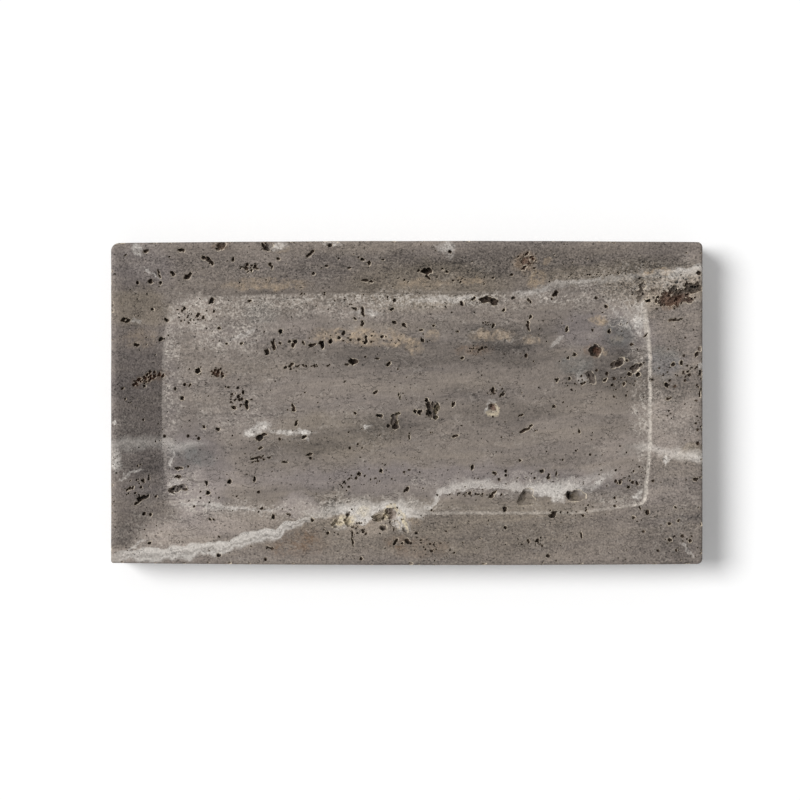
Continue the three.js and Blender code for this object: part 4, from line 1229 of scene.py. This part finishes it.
def vein(graph, place, edge, tear, parts):
    """How much of a vein shows, and how bright it is there."""
    x, y, _ = graph.split(place)
    y = graph.add(y, edge, graph.times(tear, parts["torn"]))
    across = graph.math("SUBTRACT", y, graph.curve(x, parts["route"]))
    across = graph.math("DIVIDE", across, graph.curve(x, parts["width"]))
    below = graph.smooth(across, -1 - parts["lower"], -1 + parts["lower"])
    above = graph.smooth(across, 1 + parts["upper"], 1 - parts["upper"])
    inner = graph.smooth(graph.math("ABSOLUTE", across), 0.85, 0.3)
    layers = graph.math("SINE", graph.add(graph.times(across, 6.5), graph.times(tear, 4.0)))
    cover = graph.add(0.9, graph.times(inner, -parts["thin"]), graph.times(layers, 0.1))
    shown = graph.times(below, above, graph.curve(x, parts["strength"]))
    mask = graph.math("MULTIPLY", shown, cover, clamp=True)
    lit = graph.smooth(across, -0.4, 0.9, parts["glow"])
    return mask, graph.add(0.97 - parts["glow"], lit, graph.times(layers, 0.08))


def travertine():
    """Grey-brown travertine: bedded bands, cloudy tone, veins and stains that run through the solid stone,
    with painted light and shade on top.
    """
    g = Graph("honed_travertine")
    place = g.place
    x, y, z = g.split(place)
    drift = g.add(g.times(g.noise(place, 40.0, 3.0), 5.0), g.times(g.noise(place, 9.0), 1.6))
    rise = g.add(g.times(x, -0.06), g.times(x, x, -0.00025))
    bed = g.join(x, g.add(y, rise, drift), z)
    broad = g.noise(bed, (80.0, 9.0, 40.0), 2.0)
    streak = g.noise(bed, (30.0, 2.3, 12.0), 3.0, 0.6)
    hair = g.noise(bed, (13.0, 0.9, 5.0), 2.0, 0.6)
    mottle = g.noise(place, 6.0, 4.0, 0.7)
    grain = g.noise(place, 1.05, 1.0, 0.7)
    sugar = g.noise(place, 1.9, 2.0, 0.75)
    speck = g.times(sugar, g.math("ABSOLUTE", sugar))

    # Level of the stone: cloudy patches, bands, mottling, grain and dark blotches, with painted light and
    # shade
    soft = g.wobble(place, 12.0, 6.0, 2.0)
    clouds_and_hip_shade = summed(g, soft, CLOUDS_AND_HIP_SHADE)
    # Painted falloff of the key light: the level drops slowly toward +x, so the left end is lighter
    level = g.add(1.0, clouds_and_hip_shade, g.times(x, -0.0004), g.times(broad, 0.25), g.times(streak, 0.22))
    border = g.attribute("border")
    rough = g.add(0.74, g.smooth(border, 1.0, -2.0, 0.62), summed(g, soft, CRUSTS))
    fine = g.add(g.times(mottle, 0.26), g.times(grain, 0.6), g.times(speck, 0.9))
    level = g.add(level, g.times(hair, 0.2), g.times(fine, rough))
    blotch = g.times(g.smooth(sugar, -0.26, -0.55), g.smooth(streak, 0.1, -0.25))
    level = g.times(level, g.math("SUBTRACT", 1.0, g.times(blotch, 0.45)))
    away, drawn = g.cells(g.wobble(place, 1.3, 0.9), (2.9, 1.7, 2.2))
    chance = g.add(drawn, g.times(streak, 0.9), g.times(mottle, 0.9))
    pinhole = g.times(g.smooth(away, 0.27, 0.1), g.smooth(chance, 0.62, 0.68))
    # Painted shade in the tiny pinholes, which the bump also sinks
    level = g.times(level, g.math("SUBTRACT", 1.0, g.times(pinhole, 0.52)))
    fold = g.math("ABSOLUTE", g.noise(g.wobble(place, 3.0, 1.3), (7.0, 3.4, 5.0), 2.0, 0.6))
    hairline = g.times(g.smooth(fold, 0.035, 0.008), g.smooth(g.noise(place, 12.0, 1.0), -0.02, 0.18))
    level = g.times(level, g.math("SUBTRACT", 1.0, g.times(hairline, 0.2)))
    warmth = g.add(summed(g, soft, ZONES), 0.5)
    tint = g.math("ADD", warmth, g.add(g.times(broad, 0.4), g.times(streak, 0.15)), clamp=True)
    stone = g.bright(g.mix(tint, COOL_GREY, WARM_GREY), level)

    # Stains, which fade down the outer walls as the spots do
    near_top = g.math("MAXIMUM", g.smooth(z, 9, 25), g.smooth(border, -28.3, -27.3))
    torn = g.wobble(g.wobble(place, 7.0, 3.4, 2.0), 1.9, 1.2)
    patchy = g.add(0.75, g.times(mottle, 2.0), g.times(sugar, 1.2))
    patchy = g.times(patchy, near_top)
    ochre = g.math("MULTIPLY", summed(g, torn, OCHRE_STAINS), patchy, clamp=True)
    rust = g.math("MULTIPLY", summed(g, torn, RUST_STAINS), patchy, clamp=True)
    shaded = g.add(1.0, g.times(grain, 0.7), g.times(mottle, 0.35), g.times(speck, 0.9))
    stone = g.mix(ochre, stone, g.bright(OCHRE, shaded))
    stone = g.mix(rust, stone, g.bright(RUST, shaded))

    cold = g.math("MULTIPLY", summed(g, torn, COLD_PATCHES), g.add(0.8, g.times(mottle, 1.2)), clamp=True)
    stone = g.mix(g.times(cold, 0.75), stone, g.bright(COLD_GREY, shaded))

    # Frosted areas, the pale band inside the floor's edge, and the line along it, which is partly whitened
    # wear and partly a painted highlight on the step
    band = g.times(g.smooth(border, -0.6, 0.8), g.smooth(g.add(border, g.times(mottle, 3.0)), 6.5, 1.5))
    band = g.times(band, g.curve(x, BAND_SHARE))
    crystal = g.noise(place, 1.15, 1.0, 0.6)
    flecks = g.smooth(g.add(g.times(crystal, 0.8), g.times(sugar, 0.35), g.times(mottle, 0.3)), -0.15, 0.38)
    ridge = g.math("ABSOLUTE", g.noise(g.wobble(place, 4.0, 1.5), (10.0, 5.5, 8.0), 2.0, 0.55))
    wisps = g.times(g.smooth(ridge, 0.05, 0.012), g.smooth(g.noise(place, 16.0, 1.0), -0.04, 0.16))
    frosted = g.add(g.times(summed(g, soft, FROSTED), near_top), band)
    frost = g.add(g.times(frosted, flecks), g.times(wisps, g.add(0.3, g.times(frosted, 0.8))))
    share = g.curve(x, LINE_SHARE)
    share = g.times(share, g.math("SUBTRACT", 1.0, g.times(g.smooth(y, 50, 57), 0.75)))
    off_line = g.math("ABSOLUTE", g.add(border, 0.45, g.times(mottle, 1.1)))
    wide = g.add(1.35, g.times(g.smooth(y, 22, 40), g.smooth(x, 120, 130), 0.8))
    off_line = g.math("DIVIDE", off_line, wide)
    # Partly whitened wear and partly a painted highlight on the step, whole at the right where the step faces
    # the light
    line = g.times(g.smooth(off_line, 1.05, 0.35), share, g.add(0.95, g.times(sugar, 0.9)))
    stone = g.mix(g.math("MAXIMUM", g.times(frost, 0.66), line, clamp=True), stone, g.bright(FROST, shaded))

    # Cracks and painted shade along the floor's top edge, veins, and whitened spots with painted highlights
    # along three hips
    lobes, _ = g.cells(g.wobble(place, 5.0, 1.6), 7.5)
    scallop = g.add(g.times(g.noise(place, 6.5, 2.0), 1.4), g.times(lobes, 3.4), g.times(sugar, 0.7), -1.5)
    tear = g.noise(place, 3.6, 3.0, 0.6)
    for parts in CRACKS_AND_SHADE_LINES:
        mask, _ = vein(g, place, 0.0, tear, parts)
        stone = g.mix(mask, stone, CRACK_AND_SHADE)
    for parts in VEINS:
        mask, shine = vein(g, place, scallop, tear, parts)
        shine = g.add(shine, g.times(grain, 0.35), g.times(speck, 0.4))
        stone = g.mix(mask, stone, g.bright(CALCITE, shine))
    broken = g.times(g.add(0.85, g.times(sugar, 1.5), g.times(mottle, 0.8)), near_top)
    # Whitened spots, and painted highlights along three hips
    spots_and_highlights = g.math("MULTIPLY", summed(g, torn, WHITE_SPOTS_AND_HIP_HIGHLIGHTS), broken, clamp=True)
    stone = g.mix(spots_and_highlights, stone, g.bright(CALCITE, g.add(0.9, g.times(grain, 0.6), g.times(mottle, 0.4))))
    cream = g.math("MULTIPLY", summed(g, torn, CREAM_SPOTS), broken, clamp=True)
    stone = g.mix(cream, stone, g.bright(CREAM, g.add(0.9, g.times(grain, 0.6), g.times(mottle, 0.6))))

    # Pores: a pale crust at the lip that is also a painted highlight on the rims, and painted shade that
    # deepens with depth
    depth = g.attribute("pore_depth")
    dark = g.attribute("pore_painted_shade")
    # Pale crust at each pore's lip, partly real and partly a painted highlight on the rim
    lip = g.times(g.smooth(depth, 0.01, 0.06), g.smooth(depth, 0.55, 0.3), g.add(0.65, g.times(mottle, 1.2)))
    stone = g.mix(g.math("MAXIMUM", lip, 0.0), stone, g.bright(PORE_RIM_CRUST_AND_HIGHLIGHT, shaded))
    # Painted shade in the pores, darker the deeper, scaled by each point's share of it
    hollow = g.add(1.0, g.times(mottle, 1.4), g.times(sugar, 0.6), g.smooth(depth, 1.0, 2.6, -0.58))
    hollow = g.bright(PORE_PAINTED_SHADE, hollow)
    stone = g.mix(g.times(g.smooth(depth, 0.14, 1.1), dark, 0.95), stone, hollow)
    inside = g.smooth(depth, 0.2, 0.6)
    burnt = g.math("MULTIPLY", summed(g, torn, BURNT_HOLLOWS), inside, clamp=True)
    olive = g.math("MULTIPLY", summed(g, torn, OLIVE_HOLLOWS), inside, clamp=True)
    stone = g.mix(g.times(burnt, 0.7), stone, g.bright(BURNT, shaded))
    stone = g.mix(g.times(olive, 0.7), stone, g.bright(OLIVE, shaded))

    g.put(g.shader.inputs["Base Color"], stone)
    g.put(g.shader.inputs["Roughness"], g.add(0.78, g.times(grain, 0.12)))
    g.shader.inputs["Specular IOR Level"].default_value = 0.3
    relief = g.add(g.times(grain, 0.25), g.times(sugar, 0.5), g.times(blotch, -0.6), g.times(pinhole, -1.0))
    relief = g.add(relief, g.times(hairline, -0.6))
    g.bump(relief, 0.4)
    return g.material


def rubber():
    """Black rubber with a faint bloom and a fine moulded grain."""
    g = Graph("foot_rubber")
    bloom = g.add(1.0, g.times(g.noise(g.place, 3.0, 3.0), 0.5), g.times(g.noise(g.place, 0.5), 0.3))
    g.put(g.shader.inputs["Base Color"], g.bright(srgb(43, 41, 39), bloom))
    g.put(g.shader.inputs["Roughness"], g.add(0.68, g.times(g.noise(g.place, 1.2), 0.16)))
    g.bump(g.noise(g.place, 0.35, 2.0), 0.05)
    return g.material


def adhesive():
    """Off-white foam adhesive with fine cells."""
    g = Graph("foot_adhesive")
    distance, _ = g.cells(g.place, 0.4)
    tone = g.add(0.92, g.times(g.noise(g.place, 2.0, 2.0), 0.2), g.times(distance, 0.12))
    g.put(g.shader.inputs["Base Color"], g.bright(srgb(206, 201, 189), tone))
    g.shader.inputs["Roughness"].default_value = 0.55
    g.bump(distance, 0.05)
    return g.material


# Feet: radius and height of the dish in the tread, the taper, and the size of the rounded edges
DISH = ((1.2, 0.42), (3.4, 0.36), (4.4, 0.2), (5.0, 0.04), (5.3, 0.0))
FOOT_TAPER = 1.9
TREAD_EDGE = 0.7
BRIM_EDGE = 0.2

# Discs: how far the edge bulges at shares of half the thickness
BULGES = ((0.1, -0.82), (0.17, -0.48), (0.2, 0.0), (0.17, 0.48), (0.1, 0.82))
TURNED_SHARP = math.radians(40)


def turned(name, profile, centre, sides=72):
    """A closed piece turned about a vertical axis, from pairs of radius and height, bottom to top."""
    points, faces = [], []
    for radius, height in profile:
        for side in range(sides):
            angle = 2 * math.pi * side / sides
            x = centre.x + radius * math.cos(angle)
            y = centre.y + radius * math.sin(angle)
            points.append(Vector((x, y, height)))
    for level in range(len(profile) - 1):
        low = level * sides
        for side in range(sides):
            after = (side + 1) % sides
            faces.append((low + side, low + after, low + sides + after, low + sides + side))
    faces.append(tuple(range(sides - 1, -1, -1)))
    last = (len(profile) - 1) * sides
    faces.append(tuple(range(last, last + sides)))
    piece = new_object(name, mesh_from(name, points, faces))
    piece.data.shade_smooth()
    piece.data.set_sharp_from_angle(angle=TURNED_SHARP)
    return piece


def round_edge(radius, height, size, start, end, steps=5):
    """Points of a rounded edge about a middle, from one angle to another in degrees."""
    angles = [math.radians(start + (end - start) * step / steps) for step in range(steps + 1)]
    return [(radius + size * math.cos(angle), height + size * math.sin(angle)) for angle in angles]


def foot(corner, material):
    """A moulded rubber foot: a tapered bumper with a rounded tread and a shallow dished middle."""
    low, high = (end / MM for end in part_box(f"foot_{corner}"))
    centre = (low + high) / 2
    top_radius = (high.x - low.x) / 2
    profile = [(radius, low.z + rise) for radius, rise in DISH]
    profile += round_edge(top_radius - FOOT_TAPER, low.z + TREAD_EDGE, TREAD_EDGE, -90, -16)
    profile += round_edge(top_radius - BRIM_EDGE, high.z - BRIM_EDGE, BRIM_EDGE, -10, 90, 3)
    profile += [(top_radius - 1.2, high.z), (1.2, high.z)]
    piece = turned(f"rubber_foot_{corner}", profile, centre)
    piece.data.materials.append(material)
    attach(piece, BODY)
    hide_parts(f"foot_{corner}")


def pad(corner, material):
    """The thin foam disc that bonds a foot to the stone, slightly bulged at its edge."""
    low, high = (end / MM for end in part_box(f"adhesive_disc_{corner}"))
    centre = (low + high) / 2
    radius = (high.x - low.x) / 2
    half = (high.z - low.z) / 2
    profile = [(1.0, low.z), (radius - 0.5, low.z)]
    for bulge, height in BULGES:
        profile.append((radius - 0.2 + bulge, centre.z + height * half))
    profile += [(radius - 0.5, high.z), (1.0, high.z)]
    piece = turned(f"adhesive_pad_{corner}", profile, centre)
    piece.data.materials.append(material)
    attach(piece, BODY)
    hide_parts(f"adhesive_disc_{corner}")


# Light: a soft key from the left and a little from behind, over an even fill
KEY_SHARE = 0.68
FILL_SHARE = 0.32
KEY_ELEVATION = math.radians(50)
KEY_AZIMUTH = math.radians(162)
KEY_SOFTNESS = math.radians(30)
FLOOR_ALBEDO = 0.9
FLOOR_HALF = 2000.0

# Level of the open floor as the camera sees it, just past white
BACKDROP = 1.03


def seen_by_camera(tree):
    """1 for rays that the viewer sees directly, in a mirror or through glass."""
    path = tree.nodes.new("ShaderNodeLightPath")
    first = tree.nodes.new("ShaderNodeMath")
    first.operation = "MAXIMUM"
    tree.links.new(path.outputs["Is Camera Ray"], first.inputs[0])
    tree.links.new(path.outputs["Is Glossy Ray"], first.inputs[1])
    second = tree.nodes.new("ShaderNodeMath")
    second.operation = "MAXIMUM"
    tree.links.new(first.outputs[0], second.inputs[0])
    tree.links.new(path.outputs["Is Transmission Ray"], second.inputs[1])
    return second.outputs[0]


def studio():
    """A white floor that keeps the tray's shadow, an even fill, the key light and the camera."""
    scene = bpy.context.scene
    world = bpy.data.worlds.new("studio")
    scene.world = world
    world.use_nodes = True
    sky = world.node_tree.nodes["Background"]
    sky.inputs["Color"].default_value = (1, 1, 1, 1)
    strength = world.node_tree.nodes.new("ShaderNodeMapRange")
    world.node_tree.links.new(seen_by_camera(world.node_tree), strength.inputs["Value"])
    strength.inputs["To Min"].default_value = FILL_SHARE
    strength.inputs["To Max"].default_value = 1.0
    world.node_tree.links.new(strength.outputs["Result"], sky.inputs["Strength"])

    key = bpy.data.lights.new("key", "SUN")
    key.energy = KEY_SHARE * math.pi / math.sin(KEY_ELEVATION)
    key.angle = KEY_SOFTNESS
    lamp = bpy.data.objects.new("key", key)
    scene.collection.objects.link(lamp)
    flat = math.cos(KEY_ELEVATION)
    toward = Vector((flat * math.cos(KEY_AZIMUTH), flat * math.sin(KEY_AZIMUTH), math.sin(KEY_ELEVATION)))
    lamp.rotation_euler = toward.to_track_quat("Z", "Y").to_euler()

    paper = bpy.data.materials.new("paper")
    paper.use_nodes = True
    tree = paper.node_tree
    shader = tree.nodes["Principled BSDF"]
    shader.inputs["Base Color"].default_value = (FLOOR_ALBEDO, FLOOR_ALBEDO, FLOOR_ALBEDO, 1)
    shader.inputs["Roughness"].default_value = 1.0
    shader.inputs["Specular IOR Level"].default_value = 0.0
    shader.inputs["Emission Color"].default_value = (1, 1, 1, 1)
    glow = tree.nodes.new("ShaderNodeMath")
    glow.operation = "MULTIPLY"
    tree.links.new(seen_by_camera(tree), glow.inputs[0])
    glow.inputs[1].default_value = BACKDROP - FLOOR_ALBEDO
    tree.links.new(glow.outputs[0], shader.inputs["Emission Strength"])
    corners = [Vector((x, y, 0)) * FLOOR_HALF for x, y in ((-1, -1), (1, -1), (1, 1), (-1, 1))]
    floor = new_object("floor", mesh_from("floor", corners, [(0, 1, 2, 3)]))
    floor.data.materials.append(paper)

    view = bpy.data.cameras.new("camera")
    view.sensor_width = SENSOR
    view.lens = SENSOR * (EYE.z - RIM_Z) / VIEW_WIDTH
    view.clip_start = CLIP_NEAR
    view.clip_end = CLIP_FAR
    camera = bpy.data.objects.new("camera", view)
    camera.location = EYE * MM
    scene.collection.objects.link(camera)
    scene.camera = camera
    scene.view_settings.view_transform = "Standard"


stone_piece = travertine_stone(travertine())
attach(stone_piece, BODY)
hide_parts("stone_tray")

rubber_material = rubber()
adhesive_material = adhesive()
for corner_name in CORNERS:
    foot(corner_name, rubber_material)
    pad(corner_name, adhesive_material)

studio()
